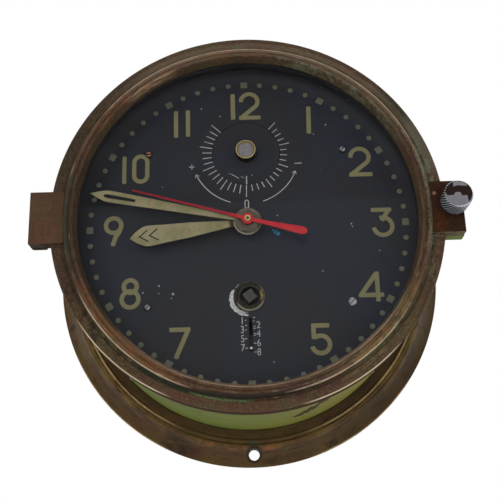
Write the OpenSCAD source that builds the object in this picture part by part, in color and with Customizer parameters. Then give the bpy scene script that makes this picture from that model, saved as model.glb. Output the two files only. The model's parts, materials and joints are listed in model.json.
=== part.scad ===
// Bulkhead ship clock: hinged bezel, painted drum case, flange for the bulkhead and an eight-day movement.
// Millimetres. X is to the right, Z is up (12 o'clock), the dial looks along -Y and the wall is at y = 0.
// Each piece is drawn lying on its back, with z as the height above the wall, and stand() puts it upright.

/* [Case] */
// Outer radius of the painted drum
drum_r = 80.8; // [72:0.2:90]
// Wall of the drum
drum_wall = 2; // [1.5:0.1:2.6]
// Height of the drum's front edge above the wall
drum_front = 89.2; // [86:0.2:100]
// Thickness of the rear cover
cover_t = 2; // [1.2:0.1:2.6]
// Depth of the dial's face below the drum's front edge
dial_sink = 8.7; // [8.4:0.1:11]

/* [Flange] */
// Width of the mounting flange around the drum
flange_w = 17; // [15:0.2:20]
// Thickness of the flange at its rim
flange_rim = 1.8; // [1.2:0.1:3]
// Height of the flange where it meets the drum
flange_h = 14.4; // [12:0.2:18]
// Distance of the mounting holes from the flange's edge
hole_in = 5.8; // [5:0.1:6.4]
// Diameter of each mounting hole
hole_d = 5.3; // [4:0.1:6]
// Number of mounting holes
hole_n = 3; // [3:1:6]

/* [Bezel] */
// Distance that the bezel stands out past the drum
bezel_over = 1.9; // [1.7:0.1:2.1]
// Thickness of the bezel's outer band
band_t = 8.3; // [7.8:0.1:8.6]
// Height of the raised inner moulding above the outer band
mould_h = 2; // [1.8:0.1:2.6]
// Width of the bezel's face, from its edge to the aperture
face_w = 9.8; // [8.9:0.1:10.7]
// Thickness of the glass
glass_t = 2; // [1.5:0.1:2.6]
// Opening angle of the bezel at which the model is drawn, 0 when shut
bezel_open = 0; // [0:5:105]

/* [Hinge and latch] */
// Height of the hinge block and of the latch block along the rim
block_h = 22.8; // [20:0.2:26]
// Distance of the hinge pin outside the bezel's edge
hinge_out = 4.9; // [4.6:0.1:5.7]
// Radius of the hinge pin
pin_r = 1.5; // [1:0.1:1.8]
// Distance of the thumb screw outside the bezel's edge
screw_out = 3.6; // [3.5:0.1:4.4]
// Distance of the thumb screw above the middle of the latch block
screw_up = 1.8; // [0:0.1:3]
// Radius of the thumb screw's knurled head
knob_r = 6; // [5:0.1:7]
// Length of the knurled head
knob_h = 9; // [6:0.1:12]
// Radius of the thumb screw's shank
shank_r = 2; // [1.6:0.1:2.2]

/* [Dial] */
// Gap between the dial's edge and the drum's wall
dial_gap = 1.4; // [1:0.1:2.2]
// Thickness of the dial plate
dial_t = 1; // [0.8:0.1:1.4]
// Sideways distance of the dial screws from the middle
post_x = 43.5; // [42:0.1:45]
// Upward distance of the dial screws from the middle
post_y = 35.3; // [34:0.1:37]
// Length of the posts that carry the dial above the front plate
post_len = 11; // [10.6:0.1:14]
// Height of the regulator's centre above the middle of the dial
regulator_y = 34.8; // [34:0.1:37]
// Radius of the regulator disc
regulator_r = 15.1; // [12:0.1:17]
// Radius of the knob in the middle of the regulator disc
regulator_knob_r = 4.5; // [4:0.1:6]
// Height of that knob above the dial
regulator_knob_h = 4.5; // [3:0.1:5]
// Distance of the winding square below the middle of the dial
winding_y = 31.7; // [31.4:0.1:32.4]
// Side of the winding square
square_w = 4.5; // [3.6:0.1:4.6]
// Height at which the reserve slot starts, below the middle
slot_top = 41; // [40:0.1:42]
// Height at which the reserve slot ends, below the middle
slot_end = 55.4; // [55:0.1:57]

/* [Hands] */
// Angle of the hour hand, clockwise from 12
hour_angle = 262.8; // [0:0.1:360]
// Angle of the minute hand, clockwise from 12
minute_angle = 282; // [0:0.1:360]
// Angle of the sweep second hand, clockwise from 12
second_angle = 284.4; // [0:0.1:360]
// Length of the hour hand from the middle to its tip
hour_len = 51; // [50.5:0.5:55]
// Length of the minute hand from the middle to its tip
minute_len = 69.5; // [66:0.5:70]
// Length of the second hand from the middle to its tip
second_len = 51.5; // [40:0.5:66]
// Length of the second hand's tail
tail_len = 26; // [22:0.2:32]
// Sideways set of the second hand's tip, as if slightly bent
needle_bend = 1.8; // [0:0.1:2]

/* [Movement] */
// Thickness of the front and back plates
plate_t = 2.5; // [2:0.1:3]
// Distance between the two plates
plate_gap = 23.5; // [23:0.1:26]
// Gap between the front plate's edge and the drum's wall
plate_clear = 6.8; // [5:0.1:7.8]
// Radius of the back plate
back_plate_r = 49; // [48:0.5:54]
// Radius of the mainspring barrel
barrel_r = 24; // [20:0.2:24.4]
// Turn of the winding arbor for one day of running, in degrees
wind_per_day = 308.6; // [200:0.1:400]

/* [Hidden] */

$fn = 96;
// Running gap of a shaft in its hole, on the radius
run = 0.06;
// Gap between faces that pass each other
pass = 0.3;
// Seat gap of a piece that lies in a recess, on the radius
seat = 0.15;

// Radii, from the drum's outwards and inwards
flange_r = drum_r + flange_w;
hole_circle = flange_r - hole_in;
bezel_r = drum_r + bezel_over;
aperture_r = bezel_r - face_w;
dial_r = drum_r - drum_wall - dial_gap;
front_plate_r = drum_r - drum_wall - plate_clear;
hinge_x = bezel_r + hinge_out;
screw_x = bezel_r + screw_out;

// Heights above the wall, from the drum's front edge downwards
bezel_back = drum_front + pass;
band_front = bezel_back + band_t;
lip_front = band_front + mould_h;
dial_face = drum_front - dial_sink;
dial_back = dial_face - dial_t;
front_top = dial_back - post_len;
front_low = front_top - plate_t;
back_top = front_low - plate_gap;
back_low = back_top - plate_t;

// Bezel, from the outside in
corner_r = 0.7;
groove_out = bezel_r - 4.3;
groove_in = groove_out - 1.2;
groove_deep = 0.7;
rabbet = 3.1;
bezel_bore = aperture_r + rabbet;
cove_deep = 0.45;
glass_front = bezel_back + 6.3;
glass_back = glass_front - glass_t;
lip_foot = aperture_r - 1.3;
gasket_t = 0.6;
ring_t = 2;
ring_inner = aperture_r - 0.9;

// Hinge and latch
plate_front = band_front + 0.8;
block_edge = bezel_r - 5.3;
block_out = 3.4;
ear_w = 6.5;
ear_h = 5.5;
hinge_z = bezel_back + 3;
knuckle_r = 3.3;
lug_foot = 17;
latch_out = screw_x + 4;
latch_z = bezel_back + 3.4;
washer_t = 0.6;

// Centre of a gear that lies at distance d1 from point a and d2 from point b, left of the line a to b
function meet(a, b, d1, d2) =
    let (v = b - a, d = norm(v), k = (d1 * d1 - d2 * d2 + d * d) / (2 * d), h = sqrt(d1 * d1 - k * k))
    a + v * (k / d) + [-v[1], v[0]] * (h / d);
// Direction from a to b in degrees
function heading(a, b) = atan2(b[1] - a[1], b[0] - a[0]);
// Turn of a gear of n2 teeth that puts it in mesh with a gear of n1 teeth turned by t1, seen along heading h
function in_mesh(h, t1, n1, n2) = h + 180 - 180 / n2 + (h - t1) * n1 / n2;
function polar(r, a) = [r * cos(a), r * sin(a)];
function arc(c, r, a0, a1, n = 6) = [for (i = [0:n]) c + polar(r, a0 + (a1 - a0) * i / n)];

// Train: barrel, intermediate wheel, minute arbor, third wheel, centre seconds, escape wheel
barrel_n = 84;
barrel_m = 0.625;
inter_leaves = 12;
inter_n = 48;
inter_m = 0.6;
minute_leaves = 12;
minute_n = 64;
minute_m = 0.5;
third_leaves = 8;
third_n = 60;
third_m = 0.4;
second_leaves = 8;
second_n = 80;
second_m = 0.3;
escape_leaves = 8;
escape_teeth = 15;

centre = [0, 0];
barrel_c = [0, -winding_y];
inter_c = barrel_c + polar((barrel_n + inter_leaves) * barrel_m / 2, 50);
minute_c = inter_c + polar((inter_n + minute_leaves) * inter_m / 2, 73.2);
third_c = meet(centre, minute_c, (third_n + second_leaves) * third_m / 2,
    (minute_n + third_leaves) * minute_m / 2);
balance_c = [-18, 28];
balance_dir = heading(centre, balance_c);
escape_c = polar((second_n + escape_leaves) * second_m / 2, balance_dir);
lever_c = escape_c + polar(7, balance_dir);

inter_turn = in_mesh(heading(barrel_c, inter_c), 0, barrel_n, inter_leaves);
minute_turn = in_mesh(heading(inter_c, minute_c), 0, inter_n, minute_leaves);
third_turn = in_mesh(heading(minute_c, third_c), 0, minute_n, third_leaves);
second_turn = in_mesh(heading(third_c, centre), 0, third_n, second_leaves);
escape_turn = in_mesh(heading(centre, escape_c), 0, second_n, escape_leaves);

// Motion work: setting pinion, motion wheel, cannon pinion and hour wheel
cannon_n = 12;
motion_n = 36;
motion_m = 0.6;
motion_leaves = 10;
hour_n = 40;
motion_d = (cannon_n + motion_n) * motion_m / 2;
hour_m = 2 * motion_d / (motion_leaves + hour_n);
motion_c = meet(minute_c, centre, motion_d, motion_d);
motion_turn = in_mesh(heading(centre, motion_c), 0, cannon_n, motion_n);
setting_turn = in_mesh(heading(motion_c, minute_c), motion_turn, motion_n, cannon_n);
hour_turn = in_mesh(heading(motion_c, centre), 0, motion_leaves, hour_n);

// Power reserve: pinion on the barrel arbor, wheel, rack pinion and rack
reserve_leaves = 16;
reserve_n = 64;
reserve_m = 0.5;
rack_leaves = 8;
rack_x = -3.5;
reserve_d = (reserve_leaves + reserve_n) * reserve_m / 2;
reserve_c = [rack_x, -winding_y - sqrt(reserve_d * reserve_d - rack_x * rack_x)];
reserve_turn = in_mesh(heading(barrel_c, reserve_c), 0, reserve_leaves, reserve_n);
day_step = 1.625;
days_shown = 7.5;
rack_m = 2 * day_step * (reserve_n / reserve_leaves) / (wind_per_day * PI / 180) / rack_leaves;
rack_r = rack_leaves * rack_m / 2;
dot_y = -(slot_top + 0.8 + days_shown * day_step);
guide_low = reserve_c[1] - 4.6;
guide_high = reserve_c[1] + 2;

// Regulator: pinion under the disc, toothed sector on the index, curb pin
regulator_c = [0, regulator_y];
regulator_leaves = 16;
sector_n = 64;
sector_m = 2 * norm(regulator_c - balance_c) / (regulator_leaves + sector_n);
sector_dir = heading(balance_c, regulator_c);
regulator_turn = in_mesh(sector_dir, 0, sector_n, regulator_leaves);
curb_r = 5.2;
curb_dir = 250;
curb_sweep = 40;

// Radii of the nested shafts at the middle
seconds_shaft = 0.95;
tube_bore = seconds_shaft + run;
tube_r = 1.75;
cannon_bore = tube_r + run;
cannon_r = 2.55;
hour_bore = cannon_r + run;
hour_pipe_r = 3.35;
arbor_r = 3.3;
pivot_r = 0.8;
train_arbor = 1.2;
thin_arbor = 0.75;
// Pillars and their screws
pillar_r = 3;
plate_screw_r = 1.5;
head_r = 2.6;
head_h = 1.2;
screw_gap = 0.1;

// Heights of the hands above the dial
hour_up = 5.9;
minute_up = 7.4;
second_up = 9.3;
hand_t = 0.6;

// Heights of the wheels, from the front plate's lower or upper face
great_low = back_top + 1.5;
barrel_top = back_top + 16.9;
inter_low = front_low - 5.4;
second_low = front_low - 2.7;
minute_low = back_top + 9.5;
third_low = back_top + 4.5;
escape_low = back_top + 12.5;
balance_low = back_top + 16;
motion_low = front_top + 2.2;
hour_low = front_top + 5.2;
ratchet_low = front_top + 0.5;
reserve_low = front_top + 5.4;
rack_low = front_top + 7.6;
sector_low = front_top + 1.6;

// Upright position of a piece drawn lying on its back
module stand() { rotate([90, 0, 0]) children(); }
// The bezel's hinge, for drawing it open
module swing() {
    translate([-hinge_x, 0, hinge_z]) rotate([0, -bezel_open, 0]) translate([hinge_x, 0, -hinge_z]) children();
}
module at(p, z = 0) { translate([p[0], p[1], z]) children(); }
module disc(r, z0, z1, p = [0, 0]) { at(p, z0) cylinder(r = r, h = z1 - z0); }
module ring(r_out, r_in, z0, z1, p = [0, 0]) {
    difference() {
        disc(r_out, z0, z1, p);
        disc(r_in, z0 - 1, z1 + 1, p);
    }
}
// Block between two heights, from one corner to the other
module bar(x0, x1, y0, y1, z0, z1) { translate([x0, y0, z0]) cube([x1 - x0, y1 - y0, z1 - z0]); }
// Slotted cheese-head screw that stands at p with the underside of its head at z
module screw(p, z, head_r, head_h, shaft_r, shaft_h, slot_turn = 30) {
    difference() {
        union() {
            disc(head_r, z, z + head_h, p);
            disc(shaft_r, z - shaft_h, z + 0.01, p);
        }
        at(p, z + head_h * 0.55) rotate([0, 0, slot_turn])
            translate([-head_r - 1, -head_r * 0.12, 0]) cube([2 * head_r + 2, head_r * 0.24, head_h]);
    }
}

// Outline of a gear with straight-sided teeth
module gear_outline(n, m) {
    pitch = 360 / n;
    tip = n * m / 2 + 0.85 * m;
    root = n * m / 2 - 1.15 * m;
    polygon([for (i = [0:n - 1], k = [[root, -0.24], [tip, -0.09], [tip, 0.09], [root, 0.24]])
        polar(k[0], (i + k[1]) * pitch)]);
}
module pinion(n, m, z0, z1, p, turn, bore = 0) {
    at(p, z0) rotate([0, 0, turn]) linear_extrude(z1 - z0) difference() {
        gear_outline(n, m);
        if (bore > 0) circle(r = bore);
    }
}
// Crossed-out wheel: teeth, rim, arms and hub
module wheel(n, m, z0, z1, p, turn, hub, bore = 0, arms = 5) {
    rim = n * m / 2 - 3.2 * m;
    at(p, z0) rotate([0, 0, turn]) linear_extrude(z1 - z0) difference() {
        gear_outline(n, m);
        difference() {
            circle(r = rim);
            circle(r = hub);
            for (i = [0:arms - 1]) rotate(i * 360 / arms) translate([0, -rim * 0.07]) square([rim + 1, rim * 0.14]);
        }
        if (bore > 0) circle(r = bore);
    }
}
// Arbor between the two plates, with a pivot at each end
module arbor(p, r, z0, z1, z_pivot0, z_pivot1) {
    disc(r, z0, z1, p);
    disc(pivot_r, z_pivot0, z_pivot1, p);
}
// Places on the front plate
screw_ring = [for (i = [0:5]) polar(front_plate_r - 2.8, 30 + 60 * i)];
pillar_ring = [for (a = [355, 75, 140, 200, 325]) polar(back_plate_r - pillar_r - 2, a)];
dial_ring = [for (sx = [-1, 1], sy = [-1, 1]) [sx * post_x, sy * post_y]];
cover_ring = [for (i = [0:3]) polar(drum_r - drum_wall - 4.8, 45 + 90 * i)];
plate_pivots = [inter_c, minute_c, third_c, escape_c, lever_c, balance_c];

// Case drum, with a ledge for the front plate and an inner ring for the rear cover
module case_drum() {
    color("#7d8a3c") stand() difference() {
        union() {
            ring(drum_r, drum_r - drum_wall, 0.6, drum_front);
            ring(drum_r - drum_wall + 0.01, front_plate_r - 6, front_low - 4, front_low);
            ring(drum_r - drum_wall + 0.01, drum_r - drum_wall - 9, cover_t + 1, cover_t + 4.5);
        }
        for (p = screw_ring) disc(1.3, front_low - 5, front_low + 1, p);
        for (p = cover_ring) disc(1.3, cover_t, cover_t + 6, p);
    }
}
// Cast flange: beads by the drum, a hollow sweep to the thin rim, relieved at the back
module mounting_flange() {
    inner = drum_r + run;
    bead = inner + 5.4;
    sweep_top = bead + 3.3;
    color("#5a4426") stand() difference() {
        rotate_extrude() polygon(concat(
            [[inner, 0], [inner, flange_h], [bead - 1.1, flange_h + 0.1]],
            arc([bead, flange_h + 0.1], 1.1, 180, 0),
            arc([bead + 2.1, flange_h - 0.4], 1, 170, 0),
            [for (i = [1:8]) let (k = i / 8) [sweep_top + (flange_r - 0.6 - sweep_top) * k,
                flange_rim + 0.4 + (flange_h - flange_rim - 1.2) * pow(1 - k, 1.55)]],
            [[flange_r, flange_rim], [flange_r, 0]]));
        ring(sweep_top - 1.4, inner + 2.2, -1, flange_h - 3.2);
        for (i = [0:hole_n - 1]) disc(hole_d / 2, -1, flange_h + 2, polar(hole_circle, -90 + i * 360 / hole_n));
    }
}
module rear_cover() {
    r = drum_r - drum_wall - seat;
    color("#6b5230") stand() difference() {
        union() {
            disc(r, 1, 1 + cover_t);
            ring(r - 12, r - 14, 1, cover_t + 2.6);
        }
        for (p = cover_ring) disc(1.6, -1, cover_t + 2, p);
        ring(r - 20, r - 22, 0, 1.4);
    }
}
module rear_cover_screws() {
    color("#b08d4a") stand() mirror([0, 0, 1]) for (p = cover_ring) screw(p, -1, 2.6, 0.9, 1.25, cover_t + 3);
}

// Case lug with the middle knuckle of the hinge
module case_hinge_lug() {
    half = block_h / 2 - ear_h - pass;
    color("#4a3a24") stand() difference() {
        union() {
            translate([-hinge_x, half, hinge_z]) rotate([90, 0, 0]) cylinder(r = knuckle_r, h = 2 * half);
            bar(-hinge_x + 0.5, -hinge_x + knuckle_r, -half, half, drum_front - 3, hinge_z);
            bar(-hinge_x + 0.5, -drum_r + 3, -half, half, drum_front - 7, drum_front - pass);
            bar(-hinge_x + 2.6, -drum_r + 3, -half, half, drum_front - lug_foot, drum_front - 6.9);
        }
        disc(drum_r, 0, drum_front + 1);
        translate([-hinge_x, half + 1, hinge_z]) rotate([90, 0, 0]) cylinder(r = pin_r + run, h = 2 * half + 2);
    }
}
// Case lug that takes the thumb screw
module case_latch_lug() {
    half = block_h / 2 - 0.2;
    color("#6f7a3a") stand() difference() {
        union() {
            bar(drum_r - 3, bezel_r + 1.3, -half, half, drum_front - 11, drum_front - pass);
            bar(bezel_r + 0.6, latch_out + 0.5, -half, half, latch_z - 5.6, latch_z - 0.4);
        }
        disc(drum_r, 0, drum_front + 1);
        disc(shank_r + 0.25, 0, latch_z + 1, [screw_x, screw_up]);
    }
}

module bezel_ring() {
    color("#4f3c26") stand() swing() rotate_extrude() polygon(concat(
        [[bezel_bore, bezel_back], [bezel_r - 4, bezel_back], [bezel_r - 4, bezel_back + 1.2],
            [bezel_r - 1.2, bezel_back + 1.2], [bezel_r - 1.2, bezel_back], [bezel_r - 0.3, bezel_back],
            [bezel_r, bezel_back + 0.3]],
        arc([bezel_r - corner_r, band_front - corner_r], corner_r, 0, 90),
        [[groove_out, band_front], [groove_out - 0.3, band_front - groove_deep],
            [groove_in + 0.1, band_front - groove_deep], [groove_in, band_front + 0.6]],
        arc([groove_in - 1.8, lip_front - 1.9], 1.8, 20, 90),
        [[aperture_r + 2.1, lip_front - cove_deep], [aperture_r + 1.5, lip_front - cove_deep],
            [aperture_r + 1.2, lip_front]],
        arc([aperture_r + 0.7, lip_front - 0.7], 0.7, 90, 180, 4),
        [[lip_foot, glass_front + 0.8], [lip_foot, glass_front], [bezel_bore, glass_front]]));
}
module bezel_glass() {
    color([0.8, 0.9, 0.9, 0.3]) stand() swing() disc(bezel_bore - seat, glass_back, glass_front);
}
module glass_gasket() {
    color("#222222") stand() swing() ring(bezel_bore - seat, ring_inner, glass_back - gasket_t, glass_back);
}
module glass_retaining_ring() {
    low = glass_back - gasket_t - ring_t;
    color("#8a6b3a") stand() swing() difference() {
        ring(bezel_bore - run, ring_inner, low, low + ring_t);
        for (i = [0:3]) rotate([0, 0, 45 + 90 * i]) bar(ring_inner - 1, ring_inner + 1.4, -1, 1, low - 1, low + 0.8);
    }
}
module bezel_seal() {
    color("#1c1c1c") stand() swing() ring(bezel_r - 1.35, bezel_r - 3.85, drum_front + 0.1, bezel_back + 1.2);
}
// Block brazed to the bezel's left edge, with two ears for the pin
module bezel_hinge_block() {
    half = block_h / 2;
    color("#5a3b28") stand() swing() difference() {
        union() {
            bar(-hinge_x - block_out, -block_edge, -half, half, band_front, plate_front);
            bar(-hinge_x - block_out, -bezel_r + 4, -half, half, bezel_back + 2.4, band_front);
            for (s = [-1, 1]) translate([0, s * (half - ear_h / 2), 0]) {
                bar(-hinge_x - block_out, -hinge_x - block_out + ear_w, -ear_h / 2, ear_h / 2, hinge_z, band_front);
                hull() for (x = [-hinge_x - block_out + 1, -hinge_x - block_out + ear_w - 1])
                    translate([x, ear_h / 2, bezel_back + 1.3]) rotate([90, 0, 0]) cylinder(r = 1, h = ear_h, $fn = 24);
                bar(-hinge_x - block_out, -hinge_x - block_out + ear_w, -ear_h / 2, ear_h / 2,
                    bezel_back + 1.3, hinge_z + 0.1);
            }
        }
        disc(bezel_r, 0, band_front);
        translate([-hinge_x, half - ear_h, hinge_z]) rotate([90, 0, 0])
            cylinder(r = knuckle_r + pass, h = block_h - 2 * ear_h);
        bar(-hinge_x, -hinge_x + knuckle_r + pass, -half + ear_h, half - ear_h, 0, hinge_z);
        translate([-hinge_x, half + 1, hinge_z]) rotate([90, 0, 0]) cylinder(r = pin_r, h = block_h + 2);
    }
}
module bezel_latch_block() {
    half = block_h / 2;
    color("#4a241c") stand() swing() difference() {
        union() {
            bar(block_edge, latch_out, -half, half, band_front, plate_front);
            bar(bezel_r - 4, latch_out, -half, half, latch_z, band_front);
        }
        disc(bezel_r, 0, band_front);
        disc(shank_r + 0.3, 0, lip_front, [screw_x, screw_up]);
    }
}
module hinge_pin() {
    color("#7d7565") stand() swing() translate([-hinge_x, block_h / 2 - 0.3, hinge_z]) rotate([90, 0, 0])
        cylinder(r = pin_r, h = block_h - 0.6);
}
module knurled(r, depth, teeth, h) {
    linear_extrude(h) polygon([for (i = [0:teeth - 1], k = [[r - depth, 0], [r, 0.5]])
        polar(k[0], (i + k[1]) * 360 / teeth)]);
}
module thumb_screw() {
    low = plate_front + washer_t + 0.1;
    chamfer = 0.8;
    color("#c8ccd0") stand() swing() at([screw_x, screw_up]) {
        translate([0, 0, low + chamfer]) knurled(knob_r, 0.35, 40, knob_h - 2 * chamfer);
        disc(knob_r - 0.6, low, low + chamfer + 0.01);
        translate([0, 0, low + knob_h - chamfer - 0.01]) cylinder(r1 = knob_r - 0.35, r2 = knob_r - 0.9, h = chamfer);
        disc(shank_r, latch_z - 4.6, low + 0.1);
    }
}
module thumb_screw_washer() {
    color("#9a8350") stand() swing()
        ring(shank_r + 2.4, shank_r + run, plate_front + 0.05, plate_front + 0.05 + washer_t, [screw_x, screw_up]);
}

module dial_plate() {
    color("#2c2d31") stand() difference() {
        disc(dial_r, dial_back, dial_face);
        disc(hour_pipe_r + 0.6, 0, dial_face + 1);
        disc(regulator_r + 0.25, 0, dial_face + 1, regulator_c);
        disc(arbor_r + 0.9, 0, dial_face + 1, barrel_c);
        bar(-0.75, 0.75, -slot_end, -slot_top, 0, dial_face + 1);
        for (p = dial_ring) disc(1.35, 0, dial_face + 1, p);
    }
}
module dial_posts() {
    color("#b08d4a") stand() for (p = dial_ring) ring(3, 1.2, front_top, dial_back, p);
}
module dial_screws() {
    color("#c9c9c4") stand() for (p = dial_ring) screw(p, dial_face, 1.7, 0.8, 1.15, 6);
}
// Dished washer around the winding square
module winding_bush() {
    inner = arbor_r + 0.9;
    rim = inner + 2.2;
    color("#3c3a34") stand() at(barrel_c, dial_face) rotate_extrude()
        polygon([[inner, 0], [rim - 0.1, 0], [rim, 0.1], [rim, 0.7], [rim - 0.2, 0.9], [rim - 0.6, 0.9],
            [rim - 1.1, 0.35], [inner, 0.35]]);
}
module regulator_disc() {
    color("#303136") stand() ring(regulator_r, 1.9, dial_back, dial_face, regulator_c);
}
// Regulator arbor: dished knob over the disc, pinion over the front plate
module regulator_pinion() {
    low = front_top + 1.2;
    r = regulator_knob_r;
    h = regulator_knob_h;
    color("#b7a66a") stand() {
        at(regulator_c, dial_face) rotate_extrude() polygon([[0, 0], [r - 0.2, 0], [r, 0.2], [r, h - 0.25],
            [r - 0.2, h], [r - 0.55, h], [r - 1.1, h - 0.7], [0, h - 0.7]]);
        disc(1.9, front_top + pass, dial_face + 0.1, regulator_c);
        pinion(regulator_leaves, sector_m, low, low + 2.4, regulator_c, regulator_turn);
        disc(1.2, front_low, front_top + pass + 0.1, regulator_c);
    }
}
// Index about the balance: ring, toothed sector and curb pin
module regulator_index() {
    reach = 46;
    color("#b08d4a") stand() {
        at(balance_c, sector_low) linear_extrude(1.2) difference() {
            union() {
                intersection() {
                    gear_outline(sector_n, sector_m);
                    polygon([[0, 0], polar(24, sector_dir - reach), polar(24, sector_dir), polar(24, sector_dir + reach)]);
                }
                circle(r = 6.4);
            }
            circle(r = 3 + run);
            difference() {
                intersection() {
                    circle(r = 13);
                    polygon([[0, 0], polar(24, sector_dir - 34), polar(24, sector_dir + 34)]);
                }
                circle(r = 7.6);
                rotate(sector_dir) translate([0, -1]) square([20, 2]);
            }
        }
        disc(0.35, front_low - 2.6, sector_low + 0.1, balance_c + polar(curb_r, curb_dir));
    }
}
module reserve_wheel() {
    color("#b08d4a") stand() {
        wheel(reserve_n, reserve_m, reserve_low, reserve_low + 1, reserve_c, reserve_turn, 3);
        pinion(rack_leaves, rack_m, rack_low - 0.2, rack_low + 1.6, reserve_c, 0);
        disc(1.1, front_top + pass, reserve_low + 0.1, reserve_c);
        disc(0.8, front_low, front_top + pass + 0.1, reserve_c);
        disc(0.7, reserve_low, rack_low - 0.1, reserve_c);
    }
}
// Rack with the white dot that shows in the reserve slot
module reserve_rack() {
    pitch = PI * rack_m;
    pitch_x = rack_x + rack_r;
    low = guide_low - days_shown * day_step - 0.2 - reserve_c[1];
    high = guide_high + 1.7 - reserve_c[1];
    color("#d8d8d0") stand() {
        at([0, reserve_c[1]], rack_low) linear_extrude(1.2) union() {
            translate([pitch_x + 1.15 * rack_m, low]) square([1.2 - pitch_x - 1.15 * rack_m, high - low]);
            for (i = [ceil(low / pitch):floor(high / pitch) - 1]) translate([0, (i + 0.5) * pitch])
                polygon([[pitch_x + 1.2 * rack_m, -0.24 * pitch], [pitch_x - 0.85 * rack_m, -0.09 * pitch],
                    [pitch_x - 0.85 * rack_m, 0.09 * pitch], [pitch_x + 1.2 * rack_m, 0.24 * pitch]]);
        }
        disc(0.55, rack_low + 1.1, dial_face + 0.2, [0, dot_y]);
    }
}
module rack_guides() {
    wall = 0.9;
    left = rack_x + rack_r - 0.85 * rack_m - 0.15;
    color("#b08d4a") stand() for (y = [guide_low, guide_high]) difference() {
        bar(left - wall, 1.35 + wall, y, y + 1.5, rack_low - 0.9, dial_back);
        bar(left, 1.35, y - 1, y + 3, rack_low - 0.12, rack_low + 1.35);
        bar(-0.8, 0.8, y - 1, y + 3, rack_low, dial_back + 1);
    }
}

// Outline of a hand drawn pointing at 12; each hand is then turned to its place
module hour_blade() {
    side = [[1.4, 0], [1.5, 8], [3.4, 25], [4.1, 36], [4.65, 42], [4.65, 43.8], [4.2, 45.4], [2.4, 48.4], [1, 50]];
    polygon(concat(side, [[0, hour_len]], [for (i = [len(side) - 1:-1:0]) [-side[i][0], side[i][1]]]));
}
module minute_blade() {
    difference() {
        side = [[1, 0], [1.05, 7.6], [1.65, 25], [2.45, 49], [2.7, 60.6], [2.5, 62.8], [1.5, 65.9]];
        polygon(concat(side, [[0, minute_len]], [for (i = [len(side) - 1:-1:0]) [-side[i][0], side[i][1]]]));
        polygon([[-0.6, 49.4], [-0.9, 61.3], [-0.5, 63.3], [0.5, 63.3], [0.9, 61.3], [0.6, 49.4]]);
    }
}
module second_blade() {
    side = [[0.5, 16], [0.7, 6], [0.8, 0], [0.95, -9], [1.3, -15.7], [1.7, -tail_len + 3], [1.6, -tail_len + 1.5],
        [1, -tail_len + 0.4]];
    outline = concat([[-0.3, second_len], [0.3, second_len]], side, [[0, -tail_len]],
        [for (i = [len(side) - 1:-1:0]) [-side[i][0], side[i][1]]]);
    polygon([for (p = outline) [p[0] + max(0, p[1]) * needle_bend / second_len, p[1]]]);
}
module hour_hand() {
    z = dial_face + hour_up;
    color("#8d886c") stand() difference() {
        union() {
            translate([0, 0, z]) rotate([0, 0, -hour_angle]) linear_extrude(hand_t) hour_blade();
            disc(6.1, z - 0.2, z + hand_t + 0.1);
        }
        disc(hour_pipe_r, z - 1, z + 2);
    }
}
module minute_hand() {
    z = dial_face + minute_up;
    color("#8d886c") stand() difference() {
        union() {
            translate([0, 0, z]) rotate([0, 0, -minute_angle]) linear_extrude(hand_t) minute_blade();
            disc(5.2, z - 0.2, z + hand_t + 0.1);
        }
        disc(cannon_r, z - 1, z + 2);
    }
}
module seconds_hand() {
    z = dial_face + second_up;
    color("#a5282f") stand() difference() {
        union() {
            translate([0, 0, z]) rotate([0, 0, -second_angle]) linear_extrude(hand_t) second_blade();
            disc(2.4, z - 0.6, z + hand_t + 0.5);
        }
        disc(seconds_shaft, z - 1, z + 3);
    }
}
module hour_wheel() {
    color("#b08d4a") stand() {
        wheel(hour_n, hour_m, hour_low, hour_low + 1.2, centre, hour_turn, 5, hour_bore, 4);
        ring(hour_pipe_r, hour_bore, hour_low + 1.1, dial_face + hour_up + hand_t + 0.4);
    }
}
module cannon_pinion() {
    color("#9aa0a6") stand() {
        pinion(cannon_n, motion_m, motion_low - 0.5, motion_low + 1.7, centre, 0, cannon_bore);
        ring(cannon_r, cannon_bore, motion_low + 1.6, dial_face + minute_up + hand_t + 0.4);
    }
}
module motion_wheel() {
    color("#b08d4a") stand() {
        wheel(motion_n, motion_m, motion_low, motion_low + 1.2, motion_c, motion_turn, 4, 0, 4);
        pinion(motion_leaves, hour_m, motion_low + 1.1, hour_low + 1.6, motion_c, 0);
        disc(1.1, front_top + pass, motion_low + 0.1, motion_c);
        disc(0.8, front_low, front_top + pass + 0.1, motion_c);
    }
}
// Friction pinion on the minute arbor's front end
module setting_pinion() {
    color("#9aa0a6") stand()
        pinion(cannon_n, motion_m, motion_low - 0.5, motion_low + 1.7, minute_c, setting_turn, train_arbor + run);
}
module centre_tube() {
    color("#b08d4a") stand() {
        ring(tube_r, tube_bore, front_low - 0.6, dial_face + minute_up + 1.1);
        ring(4.6, tube_r - 0.01, front_low - 0.6, front_low);
    }
}

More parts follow.
